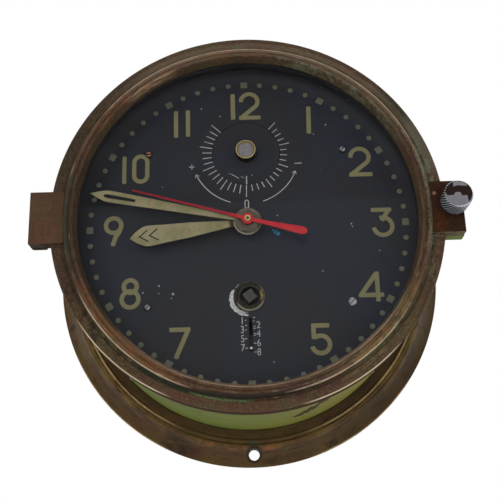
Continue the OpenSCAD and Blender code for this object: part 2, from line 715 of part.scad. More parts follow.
module front_plate() {
    color("#b08d4a") stand() difference() {
        union() {
            disc(front_plate_r, front_low, front_top);
            disc(3, front_top - 0.1, sector_low + 1.5, balance_c);
        }
        disc(tube_r, 0, dial_face);
        disc(arbor_r + run, 0, dial_face, barrel_c);
        for (p = plate_pivots) disc(pivot_r + run, 0, dial_face, p);
        disc(train_arbor + run, 0, dial_face, minute_c);
        for (p = [motion_c, reserve_c]) disc(0.8 + run, 0, dial_face, p);
        disc(1.2 + run, 0, dial_face, regulator_c);
        for (p = screw_ring) disc(1.6, 0, dial_face, p);
        for (p = dial_ring) disc(1.2, 0, dial_face, p);
        for (p = pillar_ring) disc(plate_screw_r + screw_gap, 0, dial_face, p);
        disc(1.2, 0, dial_face, click_c);
        difference() {
            ring(curb_r + 0.6, curb_r - 0.6, front_low - 1, front_top + 1, balance_c);
            at(balance_c, front_low - 2) linear_extrude(plate_t + 4) rotate(curb_dir)
                polygon([[0, 0], polar(20, curb_sweep), polar(20, 90), polar(30, 150), polar(30, 210),
                    polar(20, 270), polar(20, -curb_sweep)]);
        }
    }
}
module front_plate_screws() {
    color("#9aa0a6") stand() for (p = screw_ring) screw(p, front_top, head_r, head_h, 1.25, plate_t + 3.6);
}
module back_plate() {
    color("#b08d4a") stand() difference() {
        disc(back_plate_r, back_low, back_top);
        disc(2.5 + run, 0, back_top + 1, barrel_c);
        disc(pivot_r + run, 0, back_top + 1);
        for (p = plate_pivots) disc(pivot_r + run, 0, back_top + 1, p);
        for (p = pillar_ring) disc(plate_screw_r + screw_gap, 0, back_top + 1, p);
    }
}
module plate_pillars() {
    color("#b08d4a") stand() for (p = pillar_ring) disc(pillar_r, back_top, front_low, p);
}
module plate_screws() {
    color("#9aa0a6") stand() {
        for (p = pillar_ring) screw(p, front_top, head_r, head_h, plate_screw_r, plate_t);
        mirror([0, 0, 1]) for (p = pillar_ring) screw(p, -back_low, head_r, head_h, plate_screw_r, plate_t);
    }
}

module mainspring_barrel() {
    color("#b08d4a") stand() difference() {
        union() {
            at(barrel_c, great_low) linear_extrude(2) gear_outline(barrel_n, barrel_m);
            disc(barrel_r, great_low + 1.9, barrel_top, barrel_c);
        }
        disc(barrel_r - 1.4, great_low + 2, barrel_top + 1, barrel_c);
        disc(arbor_r + run, 0, barrel_top, barrel_c);
    }
}
module barrel_cover() {
    color("#c19c56") stand() ring(barrel_r, arbor_r + run, barrel_top, barrel_top + 1, barrel_c);
}
// Coiled strip between the arbor's hub and the barrel's wall
module mainspring() {
    turns = 8;
    steps = turns * 20;
    in_r = 7.4;
    out_r = barrel_r - 2.1;
    strip = 0.45;
    color("#5f6a75") stand() at(barrel_c, great_low + 2.6) linear_extrude(barrel_top - great_low - 3.4)
        polygon(concat([for (i = [0:steps]) polar(in_r + (out_r - in_r) * i / steps, i * 360 * turns / steps)],
            [for (i = [steps:-1:0]) polar(in_r + strip + (out_r - in_r) * i / steps, i * 360 * turns / steps)]));
}
module barrel_arbor() {
    color("#8f959b") stand() {
        disc(2.5, back_low, back_top + 1, barrel_c);
        disc(arbor_r, back_top + 0.9, rack_low - 0.4, barrel_c);
        disc(6.8, great_low + 2.6, barrel_top - 0.6, barrel_c);
        pinion(reserve_leaves, reserve_m, reserve_low - 0.5, reserve_low + 1.5, barrel_c, 0);
        at(barrel_c, rack_low - 0.5) rotate([0, 0, 35]) translate([-square_w / 2, -square_w / 2, 0])
            cube([square_w, square_w, dial_face + 1.5 - rack_low + 0.5]);
    }
}
ratchet_n = 30;
ratchet_r = 10;
click_c = barrel_c + [-14.2, 5];
module ratchet_wheel() {
    step = 360 / ratchet_n;
    color("#8f959b") stand() at(barrel_c, ratchet_low) linear_extrude(2) difference() {
        polygon([for (i = [0:ratchet_n - 1], k = [[ratchet_r, 0], [ratchet_r - 1.2, 0.08]])
            polar(k[0], (i + k[1]) * step)]);
        circle(r = arbor_r);
    }
}
// Click lifted just clear of the ratchet's teeth
module click() {
    toward = heading(click_c, barrel_c);
    reach = norm(barrel_c - click_c) - ratchet_r - 0.15;
    color("#8f959b") stand() at(click_c, ratchet_low) linear_extrude(2) difference() {
        union() {
            circle(r = 2.6);
            rotate(toward) polygon([[-1, 2.5], [-1, -2.5], [reach - 0.6, -1.3], [reach, 0], [reach - 0.8, 1.1]]);
        }
        circle(r = 1.3 + run);
    }
}
module click_spring() {
    color("#6c757d") stand() at(click_c) {
        translate([0, 0, ratchet_low + 0.2]) linear_extrude(1.4) {
            translate([-3.8, -14]) square([0.6, 17]);
            translate([-6.6, -14]) square([3.4, 3]);
        }
        bar(-6.6, -3.3, -14, -11, front_top, ratchet_low + 0.3);
    }
}
module click_screw() {
    color("#9aa0a6") stand() {
        screw(click_c, ratchet_low + 2.15, 2.4, 1, 1.3, 2.15 + 0.5, 70);
        disc(1.2, front_low + 0.3, front_top + 0.1, click_c);
    }
}
module intermediate_wheel() {
    color("#b08d4a") stand() {
        wheel(inter_n, inter_m, inter_low, inter_low + 1.2, inter_c, 0, 3);
        pinion(inter_leaves, barrel_m, great_low - 0.5, great_low + 2.5, inter_c, inter_turn);
        arbor(inter_c, train_arbor, back_top + pass, front_low - pass, back_low, front_top);
    }
}
module minute_arbor() {
    color("#b08d4a") stand() {
        wheel(minute_n, minute_m, minute_low, minute_low + 1.2, minute_c, 0, 3);
        pinion(minute_leaves, inter_m, inter_low - 0.6, inter_low + 1.8, minute_c, minute_turn);
        arbor(minute_c, train_arbor, back_top + pass, motion_low + 2.2, back_low, back_top + 1);
    }
}
module third_wheel() {
    color("#b08d4a") stand() {
        wheel(third_n, third_m, third_low, third_low + 1, third_c, 0, 2.4);
        pinion(third_leaves, minute_m, minute_low - 0.6, minute_low + 1.8, third_c, third_turn);
        arbor(third_c, thin_arbor + 0.15, back_top + pass, front_low - pass, back_low, front_top);
    }
}
module seconds_wheel() {
    color("#b08d4a") stand() {
        wheel(second_n, second_m, second_low, second_low + 0.9, centre, 0, 2.4);
        pinion(second_leaves, third_m, third_low - 0.6, third_low + 1.6, centre, second_turn);
        disc(pivot_r, back_low, back_top + 1);
        disc(seconds_shaft, back_top + pass, dial_face + second_up + hand_t + 0.9);
    }
}
module escape_wheel() {
    step = 360 / escape_teeth;
    color("#c19c56") stand() {
        at(escape_c, escape_low) linear_extrude(0.8) difference() {
            polygon([for (i = [0:escape_teeth - 1], k = [[5.6, 0], [5.5, 0.12], [4, 0.34], [4, 0.78]])
                polar(k[0], (i + k[1]) * step)]);
            difference() {
                circle(r = 3.2);
                circle(r = 1.5);
                for (i = [0:3]) rotate(i * 90) translate([0, -0.4]) square([6, 0.8]);
            }
        }
        pinion(escape_leaves, second_m, second_low - 0.7, second_low + 1.5, escape_c, escape_turn);
        arbor(escape_c, thin_arbor, back_top + pass, front_low - pass, back_low, front_top);
    }
}
// Lever with two pallets beside the escape wheel and a fork towards the balance
module pallet_lever() {
    fork = norm(balance_c - lever_c) - 2.4;
    color("#8f959b") stand() {
        at(lever_c, escape_low) rotate([0, 0, balance_dir]) linear_extrude(0.8) {
            translate([0, -0.5]) square([fork, 1]);
            circle(r = 1.4);
            for (s = [-1, 1]) {
                polygon([[-0.8, 0], [0.8, 0], [-0.6, s * 4.6], [-2.2, s * 4.6]]);
                polygon([[-2.2, s * 4.4], [-0.7, s * 4.4], [-1.2, s * 5.6], [-3, s * 5.6]]);
                translate([fork - 0.1, s * 0.9 - 0.5]) square([1.4, 1]);
            }
            translate([fork - 0.8, -1.4]) square([0.9, 2.8]);
        }
        arbor(lever_c, thin_arbor, back_top + pass, front_low - pass, back_low, front_top);
    }
}
module balance_wheel() {
    roller_low = escape_low + 1.1;
    color("#c19c56") stand() {
        at(balance_c, balance_low) linear_extrude(1.8) {
            difference() {
                circle(r = 10.4);
                circle(r = 9);
            }
            rotate(balance_dir + 90) translate([-9.4, -0.8]) square([18.8, 1.6]);
            circle(r = 2);
        }
        for (i = [0:11]) at(balance_c + polar(10.3, balance_dir + 15 + i * 30), balance_low + 0.9)
            rotate([90, 0, balance_dir + 105 + i * 30]) cylinder(r = 0.5, h = 0.7, $fn = 12);
        disc(2.4, roller_low, roller_low + 0.8, balance_c);
        disc(0.3, escape_low + 0.95, roller_low + 0.1, balance_c + polar(1.7, balance_dir + 180));
        disc(1, front_low - 2.2, front_low - 1, balance_c);
        arbor(balance_c, thin_arbor, back_top + pass, front_low - pass, back_low, front_top + 1);
    }
}
module hairspring() {
    turns = 5;
    steps = turns * 24;
    in_r = 1.25;
    out_r = 5;
    strip = 0.12;
    color("#7a8a9a") stand() {
        at(balance_c, front_low - 1.9) rotate([0, 0, curb_dir - 80]) linear_extrude(0.6)
            polygon(concat([for (i = [0:steps]) polar(in_r + (out_r - in_r) * i / steps, i * 360 * turns / steps)],
                [for (i = [steps:-1:0]) polar(in_r + strip + (out_r - in_r) * i / steps, i * 360 * turns / steps)]));
        disc(0.5, front_low - 2.1, front_low, balance_c + polar(out_r + 0.4, curb_dir - 80));
    }
}

case_drum();
mounting_flange();
rear_cover();
rear_cover_screws();
case_hinge_lug();
case_latch_lug();
bezel_ring();
bezel_glass();
glass_gasket();
glass_retaining_ring();
bezel_seal();
bezel_hinge_block();
bezel_latch_block();
hinge_pin();
thumb_screw();
thumb_screw_washer();
dial_plate();
dial_posts();
dial_screws();
winding_bush();
regulator_disc();
regulator_pinion();
regulator_index();
reserve_wheel();
reserve_rack();
rack_guides();
hour_hand();
minute_hand();
seconds_hand();
hour_wheel();
cannon_pinion();
motion_wheel();
setting_pinion();
centre_tube();
front_plate();
front_plate_screws();
back_plate();
plate_pillars();
plate_screws();
mainspring_barrel();
barrel_cover();
mainspring();
barrel_arbor();
ratchet_wheel();
click();
click_spring();
click_screw();
intermediate_wheel();
minute_arbor();
third_wheel();
seconds_wheel();
escape_wheel();
pallet_lever();
balance_wheel();
hairspring();
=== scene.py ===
import bpy
import json
import random
from math import atan2, cos, pi, radians, sin
from mathutils import Matrix, Vector

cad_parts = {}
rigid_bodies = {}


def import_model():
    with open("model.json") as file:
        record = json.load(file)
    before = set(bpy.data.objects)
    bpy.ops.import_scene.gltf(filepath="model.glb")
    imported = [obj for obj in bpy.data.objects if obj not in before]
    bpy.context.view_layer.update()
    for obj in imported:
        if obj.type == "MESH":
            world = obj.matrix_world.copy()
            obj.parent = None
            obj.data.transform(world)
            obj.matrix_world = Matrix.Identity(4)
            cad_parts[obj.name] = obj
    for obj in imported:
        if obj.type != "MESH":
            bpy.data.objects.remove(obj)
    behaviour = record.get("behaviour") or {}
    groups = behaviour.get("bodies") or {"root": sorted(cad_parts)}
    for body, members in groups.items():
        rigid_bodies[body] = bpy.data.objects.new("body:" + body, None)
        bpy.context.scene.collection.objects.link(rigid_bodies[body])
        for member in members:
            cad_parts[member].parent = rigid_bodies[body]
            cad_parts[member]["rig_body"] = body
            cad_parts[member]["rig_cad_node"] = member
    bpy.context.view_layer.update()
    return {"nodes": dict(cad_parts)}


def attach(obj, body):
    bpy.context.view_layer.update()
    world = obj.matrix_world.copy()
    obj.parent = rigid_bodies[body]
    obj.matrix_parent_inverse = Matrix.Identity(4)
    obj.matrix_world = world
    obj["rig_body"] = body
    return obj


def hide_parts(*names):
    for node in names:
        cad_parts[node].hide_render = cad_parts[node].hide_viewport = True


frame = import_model()
nodes = frame["nodes"]
print("frame loaded:", len(nodes), "nodes")

mm = 0.001
dialFace = 80.5  # height of the dial above the wall, in mm
sunk = 0.03  # how far a painted mark reaches into the dial


def spot(x, up, out):  # mm to the right, up the dial and out from the wall
    return Vector((x, -out, up)) * mm


# camera
cameraSet = {"lens": 60.99, "place": (-0.00016, -0.42994, -0.12305), "right": (0.9996, 0.0066, -0.0279),
             "up": (0.0285, -0.3054, 0.9518)}
bpy.ops.object.camera_add(location=cameraSet["place"])
camera = bpy.context.object
camera.name = "camera"
camera.data.sensor_width = 36
camera.data.lens = cameraSet["lens"]
side = Vector(cameraSet["right"]).normalized()
back = side.cross(Vector(cameraSet["up"])).normalized()
turn = Matrix((side, back.cross(side), back)).transposed()
camera.matrix_world = Matrix.Translation(cameraSet["place"]) @ turn.to_4x4()
bpy.context.scene.camera = camera
print("camera in place")


# working helpers
def nothing():
    bpy.ops.object.select_all(action="DESELECT")


def pick(obj):
    nothing()
    obj.select_set(True)
    bpy.context.view_layer.objects.active = obj


def everything():
    bpy.ops.mesh.select_all(action="SELECT")


def edit(obj, mode="VERT"):
    pick(obj)
    bpy.ops.object.mode_set(mode="EDIT")
    bpy.ops.mesh.select_mode(type=mode)


def editAll(obj, mode="VERT"):
    edit(obj, mode)
    everything()


def leave():
    bpy.ops.object.mode_set(mode="OBJECT")


def faceOut():  # normals turned outwards, and back to object mode
    everything()
    bpy.ops.mesh.normals_make_consistent(inside=False)
    leave()


def mergeAll(reach=1e-6):
    everything()
    bpy.ops.mesh.remove_doubles(threshold=reach)


def extrude(out):  # mm, away from the wall
    bpy.ops.mesh.extrude_region_move(TRANSFORM_OT_translate={"value": (0, -out * mm, 0)})


def inset(width):  # mm
    bpy.ops.mesh.inset(thickness=width * mm)


def widen(scale, middle):  # across the dial only
    bpy.ops.transform.resize(value=(scale, 1, scale), center_override=middle)


def settle(obj, name):  # the place goes into the mesh, the object stays at the origin
    pick(obj)
    bpy.ops.object.transform_apply(location=True, rotation=True, scale=True)
    obj.name = obj.data.name = name
    return obj


def apply(obj, kind, **values):
    pick(obj)
    mod = obj.modifiers.new(kind.lower(), kind)
    for key, value in values.items():
        setattr(mod, key, value)
    bpy.ops.object.modifier_apply(modifier=mod.name)


def strip(count, size=mm):  # grid of two rows of points
    bpy.ops.mesh.primitive_grid_add(x_subdivisions=count - 1, y_subdivisions=1, size=size)
    return bpy.context.object


def circle(name, count, radius, middle, fill="NGON", turn=0):  # radius in mm
    nothing()
    bpy.ops.mesh.primitive_circle_add(vertices=count, radius=radius * mm, fill_type=fill, rotation=(pi / 2, 0, 0),
                                      location=middle)
    bpy.context.object.data.transform(Matrix.Rotation(radians(turn), 4, "Z"))
    return settle(bpy.context.object, name)


def smooth(obj, angle=35):
    pick(obj)
    bpy.ops.object.shade_smooth_by_angle(angle=radians(angle))


def join(parts, name):
    nothing()
    for part in parts:
        part.select_set(True)
    bpy.context.view_layer.objects.active = parts[0]
    if len(parts) > 1:
        bpy.ops.object.join()
    return settle(parts[0], name)


def dress(obj, key):
    obj.data.materials.clear()
    obj.data.materials.append(finishes[key])


def finishPiece(obj, body, slot, key, *replaced):
    dress(obj, key)
    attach(obj, body)
    if replaced:
        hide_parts(*replaced)


def arc(cx, cy, r, first, last, count):  # points round a centre, from one direction to another in degrees
    turns = [radians(first + (last - first) * i / count) for i in range(count + 1)]
    return [(cx + r * cos(a), cy + r * sin(a)) for a in turns]


def turned(name, outline, steps):  # closed outline of (radius, height) spun about the dial's axis
    points = [spot(r, 0, h) for r, h in outline]
    nothing()
    bpy.ops.mesh.primitive_plane_add(size=mm, location=points[0])
    obj = bpy.context.object
    bpy.ops.object.mode_set(mode="EDIT")
    bpy.ops.mesh.merge(type="CENTER")
    for here, there in zip(points, points[1:] + points[:1]):
        bpy.ops.mesh.extrude_region_move(TRANSFORM_OT_translate={"value": there - here})
    mergeAll()
    bpy.ops.mesh.spin(steps=steps, angle=2 * pi, center=(0, 0, 0), axis=(0, 1, 0))
    mergeAll()
    faceOut()
    return settle(obj, name)


def stroke(path, width, high, thick, closed=False, soft=0.0):  # painted line laid along a path on the dial
    path = [Vector(p) for p in path]
    if closed:
        path.append(path[0])
    widths = [width] * len(path)
    if soft:
        first, last = (path[1] - path[0]).normalized(), (path[-2] - path[-1]).normalized()
        path = [path[0], path[0] + first * soft] + path[1:-1] + [path[-1] + last * soft, path[-1]]
        widths = [width - 1.4 * soft] + [width] * (len(path) - 2) + [width - 1.4 * soft]
    count = len(path)
    obj = strip(count)
    for i, p in enumerate(path):
        before = path[i - 1] if i else (path[-2] if closed else 2 * p - path[1])
        after = path[i + 1] if i < count - 1 else (path[1] if closed else 2 * p - path[-2])
        a, b = (p - before).normalized(), (after - p).normalized()
        across = Vector((-a.y - b.y, a.x + b.x)).normalized()
        reach = widths[i] / 2 / max(0.5, across.dot(Vector((-a.y, a.x))))
        obj.data.vertices[i].co = spot(*(p - across * reach), high)
        obj.data.vertices[count + i].co = spot(*(p + across * reach), high)
    if closed:
        edit(obj)
        mergeAll()
        leave()
    apply(obj, "SOLIDIFY", thickness=thick * mm, offset=-1)
    return obj


def copiesOf(obj, places):  # one shape repeated at (x, up, turn) places on the dial
    parts = []
    for x, up, angle in places:
        part = obj.copy()
        part.data = obj.data.copy()
        part.data.transform(Matrix.Translation(spot(x, up, 0)) @ Matrix.Rotation(-radians(angle), 4, "Y"))
        bpy.context.scene.collection.objects.link(part)
        parts.append(part)
    bpy.data.objects.remove(obj)
    return parts


def dressedCopy(node, name, edge):  # copy of a CAD node with its edges eased
    obj = nodes[node].copy()
    obj.data = nodes[node].data.copy()
    obj.parent = None
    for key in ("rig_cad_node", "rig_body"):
        del obj[key]
    bpy.context.scene.collection.objects.link(obj)
    pick(obj)
    bpy.ops.mesh.customdata_custom_splitnormals_clear()
    edit(obj)
    mergeAll(2e-6)
    bpy.ops.mesh.dissolve_limited(angle_limit=radians(1.5))
    leave()
    apply(obj, "BEVEL", width=edge * mm, segments=2, angle_limit=radians(30), harden_normals=False)
    obj.name = obj.data.name = name
    smooth(obj)
    return obj


# finishes
now = {}  # the finish in the making: material, node tree, shader, look, coordinates and the colour so far


def put(kind, inputs=None, **props):
    made = now["tree"].nodes.new("ShaderNode" + kind)
    for key, value in props.items():
        setattr(made, key, value)
    for key, value in (inputs or {}).items():
        if isinstance(value, bpy.types.NodeSocket):
            now["tree"].links.new(value, made.inputs[key])
        else:
            made.inputs[key].default_value = value
    return made


def wire(socket, value):
    now["tree"].links.new(value, now["shader"].inputs[socket])


def vector(kind, a, b=(0, 0, 0)):
    made = put("VectorMath", {0: a, 1: b}, operation=kind)
    return made.outputs["Value" if kind in ("DISTANCE", "DOT_PRODUCT", "LENGTH") else "Vector"]


def newFinish(look, name, rough=0.5, metal=0.0, spec=0.5):  # gives the object coordinates in mm
    mat = bpy.data.materials.new(name)
    mat.use_nodes = True
    now.update(mat=mat, tree=mat.node_tree, shader=mat.node_tree.nodes["Principled BSDF"], look=look)
    for key, value in (("Roughness", rough), ("Metallic", metal), ("Specular IOR Level", spec)):
        now["shader"].inputs[key].default_value = value
    now["where"] = vector("MULTIPLY", put("TexCoord").outputs["Object"], (1 / mm, 1 / mm, 1 / mm))
    return now["where"]


def seen(colour):  # a key of the look, or a colour as seen, 0 to 255, becomes the linear value a shader takes
    if isinstance(colour, bpy.types.NodeSocket):
        return colour
    if isinstance(colour, str):
        colour = now["look"][colour]
    return tuple(((c / 255 + 0.055) / 1.055) ** 2.4 if c > 10 else c / 255 / 12.92 for c in colour) + (1,)


def blend(share, a, b):
    return put("Mix", {0: share, 6: seen(a), 7: seen(b)}, data_type="RGBA").outputs[2]


def ground(share, a, b):  # the first two tones
    now["colour"] = blend(share, a, b)


def lay(top, strength, *masks):  # one more tone over the colour so far, where all the masks are open
    masks += (strength,) if strength < 1 else ()
    now["colour"] = blend(times(*masks) if len(masks) > 1 else masks[0], now["colour"], top)


def done(height=None, depth=0.0, strength=1.0):  # depth of the bump in mm
    wire("Base Color", now["colour"])
    if height is not None:
        wire("Normal", put("Bump", {"Height": height, "Distance": depth * mm, "Strength": strength}).outputs[0])
    return now["mat"]


def noise(size, detail, rough, seed, where=None):  # size is the width of a patch in mm
    return put("TexNoise", {"Vector": where or now["where"], "Scale": 1 / size, "Detail": detail, "Roughness": rough,
                            "W": seed}, noise_dimensions="4D").outputs["Fac"]


def ramp(value, low, high, out0=0.0, out1=1.0):
    return put("MapRange", {0: value, 1: low, 2: high, 3: out0, 4: out1}).outputs[0]


def math(kind, *parts):
    whole = parts[0]
    for part in parts[1:] or (0.0,):
        whole = put("Math", {0: whole, 1: part}, operation=kind).outputs[0]
    return whole


def times(*parts):
    return math("MULTIPLY", *parts)


def plus(*parts):
    return math("ADD", *parts)


def minus(a, b):
    return math("SUBTRACT", a, b)


def most(*parts):
    return math("MAXIMUM", *parts)


def split(where):
    return put("SeparateXYZ", {0: where}).outputs


def aroundDial(middle=None):  # coordinates and radius about the dial's axis, or about another beside it
    x, y, z = split(vector("SUBTRACT", now["where"], middle) if middle else now["where"])
    flat = put("CombineXYZ", {0: x, 2: z}).outputs[0]
    now.update(radius=vector("LENGTH", flat), unit=vector("NORMALIZE", flat))
    return x, y, z, now["radius"]


def at(hour, reach, soft=8):  # 1 within reach degrees of an hour mark, 0 past the soft edge
    a = radians(90 - 30 * hour)
    facing = vector("DOT_PRODUCT", now["unit"], (cos(a), 0, sin(a)))
    return ramp(facing, cos(radians(reach + soft)), cos(radians(reach)))


def near(value, middle, width, soft):  # 1 close to a value, falling to 0 over the soft width
    return ramp(math("ABSOLUTE", minus(value, middle)), width, width + soft, 1.0, 0.0)


def band(middle, half, soft=0.4):  # the same with the radius
    return near(now["radius"], middle, half, soft)


def shine(mask, low, high):  # roughness
    wire("Roughness", ramp(mask, 0.3, 0.7, low, high))


def streaks(x, y, z, radius, around, across, seed=0.0):  # fine lines that follow the turning
    sx, sz = [times(math("DIVIDE", part, radius), around) for part in (x, z)]
    line = put("CombineXYZ", {0: sx, 1: times(minus(radius, y), across), 2: sz}).outputs[0]
    return noise(1.0, 5, 0.6, seed, line)


bezelLook = {"brown": (82, 62, 45), "red": (102, 62, 46), "olive": (86, 76, 50), "dark": (38, 30, 24),
             "green": (116, 130, 86), "mould": (46, 52, 38), "crust": (108, 110, 88), "worn": (202, 182, 152),
             "moss": (90, 98, 62), "gold": (158, 132, 76), "pink": (180, 146, 116), "orange": (138, 86, 50),
             "purple": (74, 50, 46), "grain": (140, 118, 90), "wall": (60, 44, 34), "pale": (168, 150, 130)}


def bezelBrass():
    newFinish(bezelLook, "bezelBrass", metal=0.5, spec=0.35)
    x, y, z, radius = aroundDial()
    lines = streaks(x, y, z, radius, 9, 1.6)
    broad = noise(34, 3, 0.5, 2)
    small = noise(5, 6, 0.65, 5)
    fine = noise(0.9, 4, 0.6, 8)
    thin = streaks(x, y, z, radius, 14, 3.4, 21)
    crusty = ramp(noise(3, 6, 0.72, 11), 0.47, 0.56)
    patchy = ramp(small, 0.42, 0.58)

    ground(ramp(broad, 0.42, 0.6), "brown", "olive")
    lay("red", 1, ramp(small, 0.4, 0.62), plus(times(band(74.6, 1.6, 0.8), 0.4), 0.3))
    lay("dark", 0.7, ramp(lines, 0.5, 0.72))
    lay("grain", 0.36, ramp(fine, 0.54, 0.66))
    lay("dark", 0.6, ramp(fine, 0.46, 0.34))
    lay("worn", 0.4, ramp(thin, 0.57, 0.66), band(75.4, 2.4, 0.8))
    lay("dark", 0.5, ramp(thin, 0.44, 0.36), band(75.4, 2.4, 0.8))
    lay("orange", 0.3, at(10.9, 32, 14), band(74.6, 1.6), patchy)
    lay("red", 0.3, at(6.4, 12, 18), band(80.8, 2.2), ramp(small, 0.35, 0.5))
    lay("dark", 0.7, at(7.8, 14), band(79.8, 2.0), crusty)
    lay("mould", 0.6, at(10.2, 14, 12), band(80.6, 2), patchy)
    lay("mould", 0.8, at(2.05, 8, 8), band(80.4, 1.8), ramp(small, 0.3, 0.5))
    lay("purple", 0.8, at(5.3, 7, 6), band(77, 3, 1), patchy)
    lay("orange", 0.4, at(7.5, 17), band(74.4, 1.4), ramp(small, 0.36, 0.5))
    # painted highlight: a gold band on the moulding towards half past four
    lay("gold", 0.3, at(4.5, 14), band(75.3, 1.2), patchy)
    # painted shade: the lip is darker round the top half
    lay("dark", 0.25, at(12, 95, 15), band(73.8, 0.7))
    lay("pale", 0.16, at(12.3, 40, 20), band(77, 3, 1))
    lay("pale", 0.2, at(2.3, 6, 6), band(80.4, 1.8))
    # painted shade: the whole ring is darker towards nine o'clock
    lay("dark", 0.3, at(9.1, 12, 26))
    lay("dark", 0.85, at(6, 12, 8), band(76.5, 0.6, 0.5))
    lay("mould", 0.85, at(6.6, 15, 5), band(78.0, 0.8, 0.5), ramp(small, 0.3, 0.5))
    lay("gold", 0.25, at(4.8, 7, 5), band(78.6, 1.2), crusty)
    lay("mould", 0.7, band(77.8, 0.6, 0.5), crusty, plus(times(at(12, 100, 20), -0.25), 0.8))
    lay("green", 0.95, at(6.3, 7, 3), band(78.3, 0.25, 0.35), ramp(fine, 0.36, 0.52))
    lay("moss", 0.9, at(11.94, 0.6, 1), band(78.6, 0.4, 0.6))
    lay("moss", 0.8, at(4.3, 16), band(77.4, 0.2, 0.25), patchy)
    lay("crust", 0.95, at(1.2, 22), band(72.5, 0.9, 0.6), crusty)
    lay("moss", 0.6, at(3.3, 12, 6), band(73.0, 0.2, 0.3), patchy)
    lay("mould", 0.9, at(2.9, 16, 6), band(77.9, 0.4), patchy)
    lay("crust", 0.5, at(2.9, 16, 5), band(77.1, 0.2, 0.3))
    lay("crust", 0.85, at(2.9, 15, 4), band(76.4, 0.8), ramp(fine, 0.42, 0.56))
    lay("crust", 0.8, at(2.9, 20, 6), band(78.8, 1.4), crusty)
    lay("mould", 0.9, at(8.95, 13, 4), band(75.7, 0.8), ramp(small, 0.36, 0.5))
    # painted highlight: pale pink streaks on the lip towards eleven o'clock
    lay("pink", 0.8, at(10.85, 6, 5), band(72.8, 0.6), ramp(thin, 0.42, 0.56))
    # painted light: the foot of the aperture is paler round the bottom
    lay("pink", 0.6, at(6, 42), band(71.8, 0.9), ramp(fine, 0.4, 0.55, 0.4, 1.0))
    # painted highlights: pale lines on the shoulder, the lip and the outer corner, in the worn tone, only at the hours
    # where light catches them
    ridgeHighlight = times(band(76.6, 0.14, 0.24), most(at(0.3, 45, 25), at(4.9, 16), at(7.4, 16)))
    lip = times(band(72.8, 0.12, 0.3), at(5.6, 38, 14))
    worn = times(most(ridgeHighlight, lip), ramp(small, 0.35, 0.55, 0.3, 0.9))
    edge = times(band(82.35, 0.16, 0.18), most(at(5, 11, 6), at(7.35, 12, 6)))
    # the worn tone laid here is painted highlight
    lay("worn", 1, most(worn, edge))
    # painted shade: the outer side wall of the ring is darkened and made dull
    wall = ramp(radius, 82.62, 82.68)
    lay("wall", 0.7, wall)
    wire("Metallic", ramp(wall, 0, 1, 0.5, 0.0))
    wire("Specular IOR Level", ramp(wall, 0, 1, 0.35, 0.05))
    wire("Roughness", plus(ramp(small, 0.3, 0.7, 0.34, 0.56), times(wall, 0.4)))
    return done(plus(fine, plus(lines, times(crusty, 0.4))), 0.14, 0.8)


flangeLook = {"brown": (80, 58, 34), "red": (84, 50, 32), "olive": (88, 70, 37), "dark": (42, 31, 22),
              "worn": (200, 172, 124), "orange": (142, 92, 50), "stain": (60, 66, 52), "grain": (128, 104, 70),
              "gold": (150, 122, 72)}


def flangeBrass():
    newFinish(flangeLook, "flangeBrass", metal=0.22, spec=0.15)
    x, y, z, radius = aroundDial()
    lines = streaks(x, y, z, radius, 7, 0.8, 3)
    broad = noise(26, 4, 0.55, 4)
    small = noise(4, 6, 0.65, 6)
    fine = noise(0.8, 4, 0.6, 9)
    ground(ramp(broad, 0.4, 0.6), "brown", "olive")

    def spotAt(x, up, size, soft):  # round patch at a point of the flange
        return ramp(vector("DISTANCE", flat, (x, 0, up)), size, size + soft, 1.0, 0.0)

    flat = put("CombineXYZ", {0: x, 2: z}).outputs[0]
    lay("red", 0.7, ramp(noise(14, 5, 0.6, 14), 0.52, 0.66))
    lay("dark", 0.7, ramp(lines, 0.48, 0.7))
    lay("dark", 0.6, ramp(small, 0.58, 0.68))
    lay("grain", 0.35, ramp(fine, 0.56, 0.7))
    lay("dark", 0.25, band(82, 2.6, 2.2))
    lay("dark", 0.35, at(4.0, 20, 20))
    lay("orange", 0.8, at(6.2, 12, 10), band(89.6, 0.8, 0.8), ramp(small, 0.45, 0.6))
    lay("dark", 0.8, spotAt(-38, -87, 4, 6), ramp(small, 0.4, 0.55))
    lay("dark", 0.8, spotAt(-91, -25.9, 1.4, 1.0))
    lay("stain", 0.6, spotAt(0, -88.5, 2.5, 3), ramp(small, 0.35, 0.55))
    # painted shade: a dark ring round the bottom hole, standing in for a spot-face that is not modelled
    lay("dark", 0.85, spotAt(0, -92, 3.4, 0.8))
    # painted highlights: gold streaks and pale lines on the rim and the bead, only towards four and eight o'clock where
    # light catches them
    litSides = most(at(8.0, 24, 14), at(4.3, 22, 14))
    rim = times(band(97.6, 0.15, 0.3), most(at(7.5, 14), at(4.8, 12)))
    bead = times(band(86.3, 0.15, 0.4), litSides)
    lay("gold", 0.45, ramp(lines, 0.5, 0.36), band(88, 2, 1.5), litSides)
    lay("gold", 0.8, band(87.9, 0.12, 0.3), litSides, ramp(small, 0.35, 0.6, 0.2, 0.8))
    lay("worn", 1, most(rim, bead), ramp(small, 0.35, 0.6, 0.2, 0.75))
    shine(small, 0.42, 0.62)
    return done(plus(fine, lines), 0.12, 0.8)


